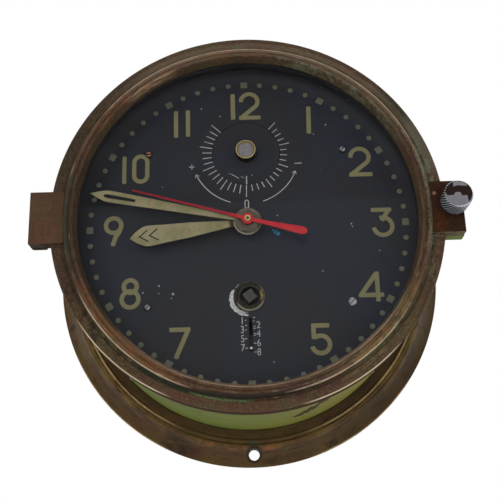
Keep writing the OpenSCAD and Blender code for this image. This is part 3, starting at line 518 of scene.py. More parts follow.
def blockBrass(name, look):
    where = newFinish(look, name, spec=0.0)
    broad = noise(11, 4, 0.6, look["seed"])
    small = noise(2.6, 6, 0.65, look["seed"] + 3)
    fine = noise(0.7, 4, 0.6, look["seed"] + 6)
    ground(ramp(broad, 0.42, 0.6), "brown", "red")
    lay("olive", 1, ramp(small, 0.48, 0.62, 0, 0.7))
    for point, size, key, strength in look.get("patches", ()):
        patch = ramp(vector("DISTANCE", where, point), size, size * 1.6, 1.0, 0.0)
        lay(key, strength, patch, ramp(small, 0.4, 0.56))
    lay("worn", 1, ramp(fine, 0.52, 0.66, 0, 0.5))
    lay("dark", 1, ramp(fine, 0.46, 0.34, 0, 0.6))
    pits = put("TexVoronoi", {"Vector": where, "Scale": 0.42}).outputs["Distance"]
    pit = times(ramp(pits, 0.1, 0.2, 1, 0), ramp(small, 0.5, 0.56))
    lay("dark", 0.8, pit)
    edge = ramp(put("NewGeometry").outputs["Pointiness"], 0.53, 0.6)
    lay("worn", look["wear"], edge)
    facing = split(put("TexCoord").outputs["Normal"])[2]
    lay("under", 1, ramp(facing, -0.4, -0.6), ramp(small, 0.36, 0.54, 0.4, 1.0))
    shine(small, 0.45, 0.65)
    return done(minus(fine, times(pit, 2)), 0.14, 0.8)


hingeLook = {"brown": (46, 35, 27), "red": (58, 36, 28), "olive": (47, 40, 28), "dark": (22, 16, 12),
             "worn": (96, 74, 58), "crimson": (96, 50, 40), "under": (84, 74, 66), "moss": (66, 60, 38),
             "ring": (24, 14, 10), "wear": 0.6, "seed": 20,
             "patches": [((-84.5, -98.6, -6.8), 4.2, "crimson", 0.5), ((-86.6, -98.6, 3.9), 4.0, "moss", 0.6),
                         ((-78.9, -98.6, 0.7), 0.8, "ring", 0.9)]}
latchLook = {"brown": (38, 24, 19), "red": (44, 23, 18), "olive": (38, 27, 19), "dark": (17, 13, 10),
             "worn": (70, 50, 38), "under": (124, 114, 88), "rust": (64, 36, 18), "fleck": (150, 124, 98),
             "wear": 0.5, "seed": 40,
             "patches": [((78.4, -98.6, -6.9), 3.4, "rust", 0.9), ((78.5, -98.6, 5.9), 0.7, "fleck", 0.9)]}
lugLook = {"brown": (56, 46, 32), "red": (66, 48, 34), "olive": (70, 66, 42), "dark": (24, 22, 18),
           "worn": (100, 90, 64), "under": (60, 52, 38), "wear": 0.5, "seed": 60}
stripLook = {"brown": (122, 128, 96), "red": (104, 108, 72), "olive": (132, 136, 110), "dark": (52, 50, 38),
             "worn": (140, 140, 116), "under": (124, 138, 84), "wear": 0.3, "seed": 66}

paintLook = {"green": (120, 132, 62), "yellow": (138, 130, 58), "shade": (110, 122, 58), "bare": (62, 42, 26),
             "inside": (120, 120, 126), "first": (21.0, -45.0, -78.0), "last": (31.5, -71.5, -74.4)}


def drumPaint():
    where = newFinish(paintLook, "drumPaint", spec=0.08)
    x, y, z, radius = aroundDial()
    broad = noise(30, 3, 0.5, 31)
    small = noise(3.5, 5, 0.6, 33)
    ground(ramp(broad, 0.4, 0.62), "green", "shade")
    lay("yellow", 1, ramp(x, -20, 60))
    first, last = Vector(paintLook["first"]), Vector(paintLook["last"])  # a scrape down to the metal
    way = last - first
    away = vector("SUBTRACT", where, first)
    share = ramp(vector("DOT_PRODUCT", away, way), 0, way.length_squared)
    nearest = put("VectorMath", {0: way, "Scale": share}, operation="SCALE").outputs[0]
    gap = vector("DISTANCE", away, nearest)
    ragged = noise(1.0, 4, 0.7, 35, vector("MULTIPLY", where, (0.5, 0.12, 0.5)))
    bare = ramp(minus(gap, times(ramp(ragged, 0.32, 0.6), 5.0)), 0.0, -0.3)
    lay("bare", 1, bare)
    # grey inside the drum, kept pale as painted light against the shade between the wall and the dial
    lay("inside", 1, ramp(radius, 80.2, 79.2))
    shine(small, 0.42, 0.6)
    return done(minus(small, bare), 0.1, 0.5)


dialLook = {"base": (44, 45, 49), "blue": (43, 46, 55), "brown": (49, 45, 44), "dust": (120, 118, 110),
            "paintedLight": (74, 75, 79)}


def dialBlack():
    where = newFinish(dialLook, "dialBlack", spec=0.15)
    broad = noise(40, 3, 0.5, 51)
    small = noise(3, 6, 0.6, 52)
    ground(ramp(broad, 0.38, 0.62), "base", "blue")
    lay("brown", 1, ramp(small, 0.5, 0.7, 0, 0.4))
    dots = put("TexVoronoi", {"Vector": where, "Scale": 0.14}).outputs["Distance"]
    lay("dust", 0.5, ramp(dots, 0.02, 0.045, 1, 0))
    radius = aroundDial()[3]
    # painted light: the dial is lighter near the top edge, where the bezel's shade falls
    lay("paintedLight", 1, ramp(radius, 68, 74, 0, 0.75), at(12, 60, 30))
    shine(small, 0.55, 0.75)
    return done(small, 0.05, 0.3)


def mottled(name, first, second, third, size, rough, metal, seed, spec=0.4):  # paint or metal in three tones
    newFinish(None, name, rough, metal, spec)
    small = noise(size / 5, 5, 0.65, seed + 1)
    ground(ramp(noise(size, 4, 0.6, seed), 0.4, 0.6), first, second)
    lay(third, 1, ramp(small, 0.52, 0.68, 0, 0.7))
    shine(small, max(0.05, rough - 0.1), rough + 0.1)
    return done(noise(0.6, 3, 0.6, seed + 2), 0.06, 0.6)


handLook = {"pale": (138, 132, 102), "olive": (122, 118, 84), "pink": (146, 128, 106), "edge": (92, 82, 58),
            "spot": (84, 74, 52), "hub": (108, 102, 88), "hubDark": (82, 72, 66),
            "line": (144, 138, 120), "root": (58, 48, 34), "teal": (118, 126, 114)}


def handLume():
    where = newFinish(handLook, "handLume", 0.65, 0.0, spec=0.2)
    x, y, z, radius = aroundDial()
    ground(ramp(noise(7, 4, 0.6, 76), 0.42, 0.6), "pale", "olive")
    lay("pink", 1, ramp(noise(3.5, 4, 0.6, 77), 0.55, 0.66, 0, 0.8))
    lay("spot", 1, ramp(noise(1.3, 4, 0.6, 78), 0.6, 0.68, 0, 0.8))
    facing = split(put("TexCoord").outputs["Normal"])[1]
    lay("edge", 1, ramp(facing, -0.97, -0.6))
    hub = blend(ramp(noise(2, 4, 0.6, 79), 0.42, 0.6), "hub", "hubDark")
    # painted highlight: a pale line on the hub's rim towards seven o'clock
    edge = times(band(5.85, 0.12, 0.2), at(7.2, 50, 20))
    hub = blend(edge, hub, "line")
    hub = blend(ramp(vector("DISTANCE", where, (1.8, -88.6, 4.1)), 1.5, 0.9, 0, 0.8), hub, "teal")
    lay("root", 1, ramp(radius, 8.6, 7.4), ramp(y, -87.5, -87.2))
    lay(hub, 1, ramp(radius, 6.3, 6.0))
    return done(noise(0.8, 3, 0.6, 80), 0.08, 0.7)


screwLook = {"steel": (186, 188, 190), "dull": (120, 118, 112), "copper": (176, 124, 88), "paintAndSlotShade": (40, 40, 44)}


def dialScrew():
    where = newFinish(screwLook, "dialScrew", 0.4, 0.4, spec=0.3)
    apart = vector("DISTANCE", vector("MULTIPLY", vector("ABSOLUTE", where), (1, 0, 1)), (43.5, 0, 35.3))
    x, y, z = split(where)
    left, top = ramp(x, 1, -1), ramp(z, -1, 1)
    mottle = noise(0.9, 4, 0.6, 60)
    ground(ramp(mottle, 0.45, 0.6), "steel", "dull")
    lay("copper", 1, left, top)
    clean = times(minus(1.0, left), minus(1.0, top))
    px = minus(x, times(math("SIGN", x), 43.5))
    pz = minus(z, times(math("SIGN", z), 35.3))
    tilt = minus(1.0, times(left, top))  # the top left slot lies level
    # painted shade: a dark line across each head for its slot
    lay("paintAndSlotShade", 1, near(minus(pz, times(px, tilt)), 0, 0.2, 0.15))
    lay("paintAndSlotShade", 1, ramp(minus(apart, plus(1.05, times(clean, 0.6))), 0.0, 0.15))
    return done(mottle, 0.04, 0.5)


knobLook = {"rim": (198, 184, 132), "slope": (124, 112, 66), "floor": (138, 130, 136), "pale": (154, 150, 158),
            "side": (50, 42, 30)}


def regulatorBrass():  # bright rim, olive slope and a grey floor, dark outside
    where = newFinish(knobLook, "regulatorBrass", 0.45, 0.35, spec=0.3)
    reach = vector("DISTANCE", vector("MULTIPLY", where, (1, 0, 1)), (0, 0, 34.8))
    mottle = noise(0.9, 4, 0.6, 110)
    floor = blend(ramp(mottle, 0.42, 0.6), "floor", "pale")
    ground(ramp(reach, 3.25, 3.4), floor, "slope")
    lay("rim", 1, ramp(reach, 4.0, 4.15))
    lay("side", 1, ramp(reach, 4.38, 4.46))
    return done(mottle, 0.04, 0.5)


def pinBrass():  # pale rim round a dark middle
    newFinish(None, "pinBrass", 0.4, 0.0, spec=0.4)
    radius = aroundDial()[3]
    grain = noise(0.5, 3, 0.6, 118)
    ground(ramp(grain, 0.46, 0.54), (206, 184, 132), (156, 128, 66))
    lay((92, 74, 40), 1, ramp(radius, 0.8, 0.6))
    return done(grain, 0.1, 0.4)


def knobChrome():  # light crests and dark grooves where the knurl runs: painted highlights and painted shade
    newFinish(None, "knobChrome", 0.1, 1.0)
    x, y, z, radius = aroundDial((86.3, 0, 1.8))
    mottle = noise(5, 4, 0.6, 116)
    ground(ramp(mottle, 0.4, 0.6), (242, 242, 246), (230, 230, 236))
    side = times(ramp(radius, 5.5, 5.6), ramp(y, -108.0, -107.9))
    # painted highlights on the crests and painted shade in the grooves of the knurl
    lay(blend(ramp(radius, 5.9, 5.74), (186, 194, 200), (50, 58, 62)), 1, side)
    wire("Metallic", ramp(side, 0, 1, 1.0, 0.45))
    wire("Roughness", ramp(side, 0, 1, 0.0, 0.2))
    return done()


washerLook = {"rim": (150, 146, 118), "dish": (46, 44, 38), "olive": (68, 64, 46), "glint": (184, 156, 92)}


def washerBrass():  # the rim is pale along its lower part, a painted highlight, with a painted glint inside on the right
    newFinish(washerLook, "washerBrass", 0.5, 0.35, spec=0.25)
    radius = aroundDial((0, 0, -31.7))[3]
    mottle = noise(1.1, 4, 0.65, 112)
    ground(ramp(mottle, 0.48, 0.62), "dish", "olive")
    rim = times(ramp(radius, 5.7, 5.9), ramp(mottle, 0.35, 0.5, 0.3, 1.0))
    low = most(at(5.8, 55, 20), times(at(3, 30, 20), 0.5))
    # painted highlight along the lower part of the rim
    lay("rim", 1, rim, low)
    # painted glint on the inner wall to the right
    lay("glint", 1, at(2.6, 22, 8), band(5.2, 0.25, 0.3), ramp(mottle, 0.5, 0.56))
    return done(mottle, 0.06, 0.6)


secondLook = {"red": (172, 34, 42), "light": (180, 44, 48), "deep": (138, 28, 40)}


def secondRed():  # the needle is darker than the tail
    where = newFinish(secondLook, "secondRed", 0.45, spec=0.3)
    mottle = noise(4, 4, 0.6, 81)
    ground(ramp(mottle, 0.42, 0.62), "red", "light")
    lay("deep", 1, ramp(split(where)[0], -4, -9))
    return done(mottle, 0.03, 0.4)


def reserveWhite():  # white only on the dot that shows in the slot; the rest is dark, painted shade inside the slot
    where = newFinish(None, "reserveWhite", 0.55, 0.0, spec=0.2)
    dark = blend(ramp(noise(2, 4, 0.6, 62), 0.4, 0.6), (44, 44, 42), (60, 58, 52))
    ground(ramp(split(where)[1], -79.8, -79.4), (190, 190, 184), dark)
    return done(noise(0.6, 3, 0.6, 63), 0.05, 0.5)


def clearGlass():
    newFinish(None, "clearGlass", 0.0, 1.0)
    wire("Alpha", times(put("LayerWeight", {"Blend": 0.31}).outputs["Fresnel"], 0.3))
    ground(ramp(noise(30, 2, 0.5, 90), 0.3, 0.7), (250, 252, 251), (244, 248, 247))
    return done()


finishes = {
    "bezel": bezelBrass(), "flange": flangeBrass(), "drum": drumPaint(), "dial": dialBlack(), "glass": clearGlass(),
    "hinge": blockBrass("hingeBrass", hingeLook), "latch": blockBrass("latchBrass", latchLook),
    "lug": blockBrass("lugBrass", lugLook), "strip": blockBrass("lugPaint", stripLook), "hand": handLume(),
    "dialScrew": dialScrew(), "reserve": reserveWhite(), "red": secondRed(), "regulator": regulatorBrass(),
    "pin": pinBrass(), "chrome": knobChrome(), "bush": washerBrass()}
mottledSet = {  # name, three tones, width of a patch in mm, roughness, metal, seed, specular
    "numeral": ("numeralPaint", (112, 112, 80), (120, 116, 84), (136, 112, 92), 9, 0.7, 0, 71, 0.2),
    "minute": ("minutePaint", (102, 102, 80), (98, 102, 90), (110, 106, 74), 8, 0.7, 0, 73, 0.2),
    "mark": ("markPaint", (170, 170, 166), (150, 150, 146), (120, 120, 118), 5, 0.6, 0, 75, 0.2),
    "ink": ("chevronInk", (30, 30, 30), (36, 36, 34), (24, 24, 24), 3, 0.6, 0, 79, 0.2),
    "teal": ("tealPaint", (40, 110, 135), (50, 125, 150), (36, 90, 112), 2, 0.6, 0, 83, 0.2),
    "chip": ("bareChip", (190, 192, 190), (150, 152, 150), (110, 112, 110), 1.2, 0.5, 0, 85, 0.3),
    "hub": ("hubBronze", (98, 90, 76), (84, 74, 66), (116, 112, 98), 2, 0.5, 0.3, 87),
    "brightBrass": ("brightBrass", (160, 140, 84), (150, 128, 74), (130, 108, 66), 5, 0.4, 0.6, 93),
    "lilacDisc": ("lilacDisc", (132, 126, 134), (116, 112, 116), (146, 142, 150), 1.4, 0.5, 0.2, 95),
    "plate": ("satinBrass", (176, 146, 84), (166, 136, 76), (146, 122, 72), 18, 0.4, 0.85, 97),
    "steel": ("brightSteel", (150, 152, 156), (140, 142, 148), (120, 122, 126), 6, 0.32, 0.9, 99),
    "blued": ("bluedSteel", (60, 72, 96), (52, 62, 86), (74, 80, 104), 5, 0.3, 0.9, 101),
    "rubber": ("gasketRubber", (58, 58, 60), (50, 50, 52), (66, 66, 68), 4, 0.75, 0, 103, 0.25),
    "squareSteel": ("squareSteel", (84, 82, 78), (70, 68, 60), (96, 92, 84), 2, 0.5, 0.3, 107, 0.2),
    "darkBronze": ("darkBronze", (56, 56, 59), (50, 50, 53), (60, 58, 56), 3, 0.6, 0.2, 109, 0.2),
    # painted shade: dark brass for the parts seen through the reserve slot
    "shadeDark": ("shadeDarkBrass", (44, 37, 26), (36, 31, 22), (56, 48, 32), 6, 0.65, 0.2, 121, 0.15)}
for key, values in mottledSet.items():
    finishes[key] = mottled(*values)
print("finishes mixed:", len(finishes))

nodeFinish = {
    "drum": ["case_drum"], "dial": ["dial_plate", "regulator_disc"], "glass": ["bezel_glass"],
    "rubber": ["glass_gasket", "bezel_seal"], "darkBronze": ["glass_retaining_ring", "hinge_pin"],
    "flange": ["rear_cover"], "bush": ["winding_bush"], "squareSteel": ["barrel_arbor", "rack_guides"],
    "reserve": ["reserve_rack"], "brightBrass": ["thumb_screw_washer", "seconds_wheel", "rear_cover_screws"],
    # painted shade: the front plate and the reserve wheel are darkened behind the slot
    "hub": ["hour_wheel", "cannon_pinion", "centre_tube"], "shadeDark": ["front_plate", "reserve_wheel"],
    "plate": ["back_plate", "plate_pillars", "dial_posts", "mainspring_barrel", "barrel_cover", "intermediate_wheel",
              "minute_arbor", "third_wheel", "escape_wheel", "regulator_index", "motion_wheel", "balance_wheel"],
    "steel": ["front_plate_screws", "ratchet_wheel", "click", "setting_pinion", "pallet_lever", "mainspring",
              "plate_screws"],
    "blued": ["click_spring", "click_screw", "hairspring"],
}
for key, names in nodeFinish.items():
    for name in names:
        dress(nodes[name], key)
print("CAD nodes finished")

# bezel ring
bezelSet = {"bore": 76.0, "outer": 82.7, "back": 89.5, "front": 97.8, "lip": 99.8, "aperture": 72.9, "foot": 71.6,
            "glass": 95.8, "corner": 0.7, "grooveOut": 78.4, "grooveIn": 77.2, "grooveDeep": 0.3, "cove": 0.45,
            "steps": 288}


def makeBezel(s):
    outer, low, front, lip, hole = s["outer"], s["back"], s["front"], s["lip"], s["aperture"]
    floor, hollow = front - s["grooveDeep"], lip - s["cove"]
    outline = [(s["bore"], low), (outer - 4, low), (outer - 4, low + 1.2), (outer - 1.2, low + 1.2), (outer - 1.2, low),
               (outer - 0.3, low), (outer, low + 0.3)]
    outline += arc(outer - s["corner"], front - s["corner"], s["corner"], 0, 90, 8)
    outline += [(s["grooveOut"] + 0.15, front), (s["grooveOut"], front - 0.12), (s["grooveOut"] - 0.3, floor),
                (s["grooveIn"] + 0.1, floor), (s["grooveIn"], front + 0.6)]
    outline += arc(s["grooveIn"] - 1.8, lip - 1.9, 1.8, 20, 90, 10)
    outline += [(hole + 2.25, lip), (hole + 2.1, lip - 0.12), (hole + 2.0, hollow), (hole + 1.5, hollow),
                (hole + 1.35, lip - 0.1), (hole + 1.2, lip)]
    outline += arc(hole + 0.7, lip - 0.7, 0.7, 90, 180, 6)
    outline += [(s["foot"], s["glass"] + 0.8), (s["foot"], s["glass"]), (s["bore"], s["glass"])]
    ring = turned("bezelRing", outline, s["steps"])
    smooth(ring, 32)
    finishPiece(ring, "bezel", "patina_brass", "bezel", "bezel_ring")


makeBezel(bezelSet)
print("bezel ring turned")

# mounting flange
flangeSet = {"inner": 80.86, "height": 14.4, "rim": 1.8, "outer": 97.8, "bead": 5.4, "sweep": 8.7, "hollow": 1.55,
             "holes": 3, "holeCircle": 92.0, "hole": 2.65, "steps": 256}


def makeFlange(s):
    inner, outer, height, rim = s["inner"], s["outer"], s["height"], s["rim"]
    bead, top, low = inner + s["bead"], inner + s["sweep"], height - 0.4
    outline = [(inner, 0), (inner, height - 0.3), (inner + 0.3, height), (bead - 1.15, height + 0.1)]
    outline += [(r, low + (h - low) * 0.6) for r, h in arc(bead, height + 0.1, 1.1, 175, 5, 10)]
    outline += [(r, low + (h - low) * 0.5) for r, h in arc(bead + 2.1, low, 1.0, 165, 0, 10)]
    for i in range(1, 21):  # hollow sweep down to the rim
        k = i / 20
        outline.append((top + (outer - 0.6 - top) * k, rim + 0.4 + (height - rim - 1.2) * (1 - k) ** s["hollow"]))
    outline += [(outer - 0.15, rim + 0.25), (outer, rim), (outer, 0.2), (outer - 0.2, 0), (top - 1.4, 0),
                (top - 1.4, height - 3.2), (inner + 2.2, height - 3.2), (inner + 2.2, 0)]
    ring = turned("mountingFlange", outline, s["steps"])
    for i in range(s["holes"]):
        a = radians(-90 + 360 * i / s["holes"])
        nothing()
        bpy.ops.mesh.primitive_cylinder_add(vertices=48, radius=s["hole"] * mm, depth=0.02, rotation=(pi / 2, 0, 0),
                                            location=spot(s["holeCircle"] * cos(a), s["holeCircle"] * sin(a), 4))
        drill = bpy.context.object
        apply(ring, "BOOLEAN", object=drill, operation="DIFFERENCE", solver="MANIFOLD")
        bpy.data.objects.remove(drill)
    smooth(ring, 32)
    finishPiece(ring, "case", "patina_brass", "flange", "mounting_flange")


makeFlange(flangeSet)
print("flange turned and drilled")

# hinge, latch and lugs
blockSet = {"bezel_hinge_block": ("hingeBlock", "bezel", "hinge", 0.35, -0.8),
            "bezel_latch_block": ("latchBlock", "bezel", "latch", 0.3, -1.4),
            "case_hinge_lug": ("hingeLug", "case", "lug", 0.2, 0),
            "case_latch_lug": ("latchLug", "case", "strip", 0.25, 0)}
plateFace, plateEdge = 97.85 * mm, 79.5 * mm
for node, (name, body, look, edge, shift) in blockSet.items():
    block = dressedCopy(node, name, edge)
    for v in block.data.vertices:  # the front plate reaches a little further over the ring
        if shift and v.co.y < -plateFace and abs(v.co.x) < plateEdge:
            v.co.x += shift * mm * (1 if v.co.x > 0 else -1)
    finishPiece(block, body, "hinge_brass", look, node)
print("blocks and lugs dressed")

# thumb screw
knobSet = {"x": 86.3, "up": 1.8, "low": 99.3, "high": 108.3, "radius": 6.0, "depth": 0.36, "teeth": 34,
           "chamfer": 0.45, "shank": 2.0, "shankLow": 88.3, "rings": 8, "twist": 30, "foot": 0.93, "top": 5.6,
           "crown": ((0.15, 0.975), (0.25, 0.88)), "lip": (0.05, 0.97), "flat": 0.2}


def makeKnob(s):
    middle = spot(s["x"], s["up"], s["low"])
    knob = circle("thumbScrew", 2 * s["teeth"], s["radius"], middle, "NOTHING")

    def toCircle(radius):  # the selected points are set on a circle
        for v in knob.data.vertices:
            if v.select:
                flat = v.co - middle
                flat.y = 0
                v.co = Vector((middle.x, v.co.y, middle.z)) + flat.normalized() * radius * mm

    for i, v in enumerate(knob.data.vertices):  # every second corner drawn in makes the knurl
        if i % 2:
            v.co = middle + (v.co - middle) * (1 - s["depth"] / s["radius"])
    editAll(knob)
    widen(s["foot"], middle)
    extrude(s["chamfer"])
    widen(1 / s["foot"], middle)
    for i in range(s["rings"]):
        extrude((s["high"] - s["low"] - 2 * s["chamfer"]) / s["rings"])
        bpy.ops.transform.rotate(value=radians(s["twist"] / s["rings"]), orient_axis="Y", orient_type="GLOBAL",
                                 center_override=middle)
    for rise, share in s["crown"]:
        extrude(rise)
        widen(share, middle)
    leave()
    toCircle(s["top"])
    edit(knob)
    extrude(s["lip"][0])
    widen(s["lip"][1], middle)
    bpy.ops.mesh.edge_face_add()
    inset(s["flat"])
    bpy.ops.mesh.select_all(action="DESELECT")
    leave()
    for v in knob.data.vertices:
        v.select = v.co.y > middle.y - 1e-6
    for e in knob.data.edges:
        e.select = all(knob.data.vertices[i].select for i in e.vertices)
    edit(knob)
    extrude(0)
    leave()
    toCircle(s["shank"])
    edit(knob)
    extrude(s["shankLow"] - s["low"])
    bpy.ops.mesh.edge_face_add()
    faceOut()
    smooth(knob, 28)
    finishPiece(knob, "latch_screw", "chrome", "chrome", "thumb_screw")


makeKnob(knobSet)
print("thumb screw knurled")

# numerals
def bar(w, h, s):  # half width, half height and stroke of a numeral, drawn about its middle
    return [([(0, -h), (0, h)], 2 * w)]


def slant(w, h, s):
    return [([(w, h), (-w, -h)], s + 0.1)]


def two(w, h, s):
    r = w - s / 2 - 0.1
    bend = arc(-0.1, h - s / 2 - r, r, 182, -38, 16)
    return [(bend + [(-w + s * 0.46, -h + s / 2)], s), ([(-w, -h + s / 2), (w, -h + s / 2)], s)]


def three(w, h, s):
    r = w - s / 2
    low = -h + s / 2 + r
    return [([(-w + 0.2, h - s / 2), (w - 0.9, h - s / 2)], s), ([(w - 2.2, h - s * 0.6), (-0.4, low + r * 0.62)], s),
            (arc(0, low, r, 108, -172, 22), s)]


def four(w, h, s):
    stem, cross = w * 0.52, -h * 0.56
    return [([(stem, -h), (stem, h - 0.1)], s), ([(-w, cross), (w, cross)], s),
            ([(-w + s * 0.42, cross), (stem - 0.2, h - s * 0.45)], s)]


def five(w, h, s):
    r = w - s / 2 - 0.1
    low, stem = -h + s / 2 + r, -w * 0.6
    return [([(stem - s / 2, h - s / 2), (w * 0.8, h - s / 2)], s), ([(stem, h), (stem, low + r * 0.62)], s),
            (arc(0, low, r, 128, -168, 24), s)]


def seven(w, h, s):
    return [([(-w, h - s / 2), (w, h - s / 2)], s), ([(w - s * 0.5, h - s * 0.55), (-w * 0.4, -h)], s)]


def eight(w, h, s):  # a width below nothing marks a closed line
    r, q = w - s / 2, (w - s / 2) * 0.78
    return [(arc(0, -h + s / 2 + r, r, 90, 450, 28)[:-1], -s), (arc(0, h - s / 2 - q, q, 90, 450, 24)[:-1], -s)]


def nine(w, h, s):
    r = w - s / 2
    top = h - s / 2 - r
    tail = [(r * cos(radians(a)), top + r * sin(radians(a))) for a in (20, 0, -18)]
    tail += [(r * 0.72, top - r * 0.95), (r * 0.3, top - r * 1.6), (-r * 0.1, -h + 0.1)]
    return [(arc(0, top, r, 90, 450, 26)[:-1], -s), (tail, s)]


def nought(w, h, s):
    r = w - s / 2
    return [(arc(0, h - s / 2 - r, r, 0, 180, 12) + arc(0, -h + s / 2 + r, r, 180, 360, 12), -s)]


numeralSet = {"stroke": 1.9, "thick": 0.12, "soft": 0.3, "lift": 0.004, "digits": [  # shape, middle, width and height
    (bar, -5.27, 58.04, 2.0, 12.9), (two, 2.35, 58.36, 9.75, 13.9), (slant, 29.05, 50.35, 0.34, 13.5),
    (two, 51.04, 29.17, 10.3, 14.4), (three, 59.03, 0.02, 10.05, 13.6), (four, 51.82, -28.86, 10.75, 13.3),
    (five, 29.23, -51.09, 9.55, 13.7), (seven, -29.79, -50.96, 8.85, 13.2), (eight, -50.98, -29.06, 9.05, 13.9),
    (nine, -58.67, -0.55, 8.65, 13.8), (bar, -54.45, 28.16, 1.8, 13.2), (nought, -47.1, 28.52, 7.75, 14.1),
    (bar, -31.32, 50.01, 1.9, 13.2), (bar, -25.9, 50.34, 1.9, 13.2)]}


def makeNumerals(s):
    parts = []
    for shape, x, up, wide, tall in s["digits"]:
        for path, width in shape(wide / 2, tall / 2, s["stroke"]):
            path = [(x + px, up + py) for px, py in path]
            high = dialFace + s["thick"] + s["lift"] * (len(parts) % 3)  # strokes that cross don't flicker
            parts.append(stroke(path, abs(width), high, s["thick"] + sunk, width < 0, s["soft"] if width > 0 else 0.0))
    finishPiece(join(parts, "dialNumerals"), "case", "hand_lume", "numeral")


makeNumerals(numeralSet)
print("numerals laid")

# minute track
trackSet = {"circle": 69.0, "dot": 1.15, "rise": 0.1, "edge": 0.2, "crown": 0.06, "wide": 3.1, "tall": 2.9,
            "corner": 0.25, "thick": 0.12}


def makeTrack(s):
    dot = circle("dot", 20, s["dot"], spot(0, 0, dialFace - sunk))
    editAll(dot, "FACE")
    extrude(s["rise"])
    inset(s["edge"])
    bpy.ops.transform.translate(value=(0, -s["crown"] * mm, 0))
    faceOut()
    nothing()
    bpy.ops.mesh.primitive_plane_add(size=mm, rotation=(pi / 2, 0, 0), location=spot(0, 0, dialFace - sunk))
    square = bpy.context.object
    square.scale = (s["wide"], s["tall"], 1)
    settle(square, "square")
    editAll(square, "FACE")
    bpy.ops.mesh.bevel(offset=s["corner"] * mm, segments=2, affect="VERTICES")
    extrude(s["thick"])
    faceOut()
    spots, corners = [], []
    for i in range(60):
        a = radians(90 - 6 * i)
        row = corners if i % 5 == 0 else spots
        row.append((s["circle"] * cos(a), s["circle"] * sin(a), -6 * i))
    track = join(copiesOf(dot, spots) + copiesOf(square, corners), "minuteTrack")
    finishPiece(track, "case", "hand_lume", "minute")


makeTrack(trackSet)
print("minute track laid")

# regulator scale
scaleSet = {"x": 0.11, "up": 34.8, "inner": 15.4, "line": 0.4, "thick": 0.06, "zero": [(-0.05, 19.35), (-0.2, 13.7)],
            "right": {"step": 8.64, "start": -0.74, "short": 18.4, "long": 20.0, "arrow": (24.3, 23.7),
                      "from": 16.5, "to": 66.9},
            "left": {"step": 8.23, "start": 1.5, "short": 19.6, "long": 21.0, "arrow": (24.5, 24.5),
                     "from": 17.6, "to": 66.5},
            "barb": 1.7, "spread": 36, "plus": (-24.24, 28.77, 1.3, 0.36), "minus": (23.3, 29.2, 1.6, 0.4),
            "nought": (-0.16, 10.3, 1.1, 0.78, 0.46), "cross": 0.01}


def fromBottom(s, r, a):  # a degrees round from the bottom of the regulator, to the right
    return s["x"] + r * sin(radians(a)), s["up"] - r * cos(radians(a))


def makeScale(s):
    high = dialFace + s["thick"]

    def line(path, width, lift=0.0, closed=False):
        parts.append(stroke(path, width, high + lift, s["thick"] + sunk, closed))

    parts = []
    line(s["zero"], s["line"])
    for sign, half in ((1, s["right"]), (-1, s["left"])):
        for i in range(1, 17):
            a = sign * (half["start"] + half["step"] * i)
            line([fromBottom(s, s["inner"], a), fromBottom(s, half["short" if i % 4 else "long"], a)], s["line"])
        first, last = half["arrow"]
        start, sweep = half["from"], half["to"] - half["from"]
        path = [fromBottom(s, first + (last - first) * i / 20, sign * (start + sweep * i / 20)) for i in range(21)]
        line(path, s["line"])
        tip = path[-1]
        for spread in (-s["spread"], s["spread"]):
            heading = atan2(path[-2][1] - tip[1], path[-2][0] - tip[0]) + radians(spread)
            line([tip, (tip[0] + s["barb"] * cos(heading), tip[1] + s["barb"] * sin(heading))], s["line"] * 0.9,
                 s["cross"])
    x, up, half, width = s["plus"]
    line([(x - half, up), (x + half, up)], width)
    line([(x, up - half), (x, up + half)], width, s["cross"])
    x, up, half, width = s["minus"]
    line([(x - half, up), (x + half, up)], width)
    x, up, half, r, width = s["nought"]
    line(arc(x, up + half, r, 0, 180, 8) + arc(x, up - half, r, 180, 360, 8), width, 0.0, True)
    finishPiece(join(parts, "regulatorScale"), "case", "pointer_white", "mark")


makeScale(scaleSet)
indexSet = {"line": [(0.07, 23.7), (0.02, 19.75)], "width": 0.55,
            "scratches": [((-7.9, 25.4), (-7.2, 24.9), 0.2), ((-6.8, 24.9), (-3.3, 22.65), 0.32),
                          ((-2.4, 23.55), (-1.1, 22.9), 0.2), ((2.3, 24.15), (2.8, 24.1), 0.3)]}


def makeIndex(s, thick):  # the white index and scratches, on the disc that turns
    parts = [stroke(s["line"], s["width"], dialFace + thick, thick + sunk)]
    for first, last, width in s["scratches"]:
        parts.append(stroke([first, last], width, dialFace + thick, thick + sunk))
    finishPiece(join(parts, "regulatorIndexLine"), "regulator", "pointer_white", "mark")


makeIndex(indexSet, scaleSet["thick"])
print("regulator scale laid")

# reserve scale
reserveSet = {"top": -42.3, "step": 1.93, "left": -3.5, "right": 3.3, "tall": 3.1, "narrow": 0.82, "thick": 0.06,
              "ticks": [(-2.1, -42.0), (-1.9, -44.2), (-2.0, -46.2), (-2.2, -50.0), (-2.0, -53.9), (1.5, -40.9),
                        (1.3, -42.4), (1.7, -44.8), (1.5, -45.6), (1.8, -47.8), (1.6, -48.6), (1.7, -52.0),
                        (1.8, -55.6)], "tick": 0.32, "tickThick": 0.05}


def digit(text, x, up, s):
    nothing()
    bpy.ops.object.text_add(rotation=(pi / 2, 0, 0), location=spot(x, up, dialFace + s["thick"] / 2))
    mark = bpy.context.object
    mark.data.body = text
    mark.data.size = s["tall"] / 0.7 * mm
    mark.data.align_x = "CENTER"
    mark.data.align_y = "CENTER"
    mark.data.resolution_u = 3
    mark.data.extrude = s["thick"] * mm / 2
    mark.scale.x = s["narrow"]
    bpy.ops.object.convert(target="MESH")
    return settle(bpy.context.object, "digit")


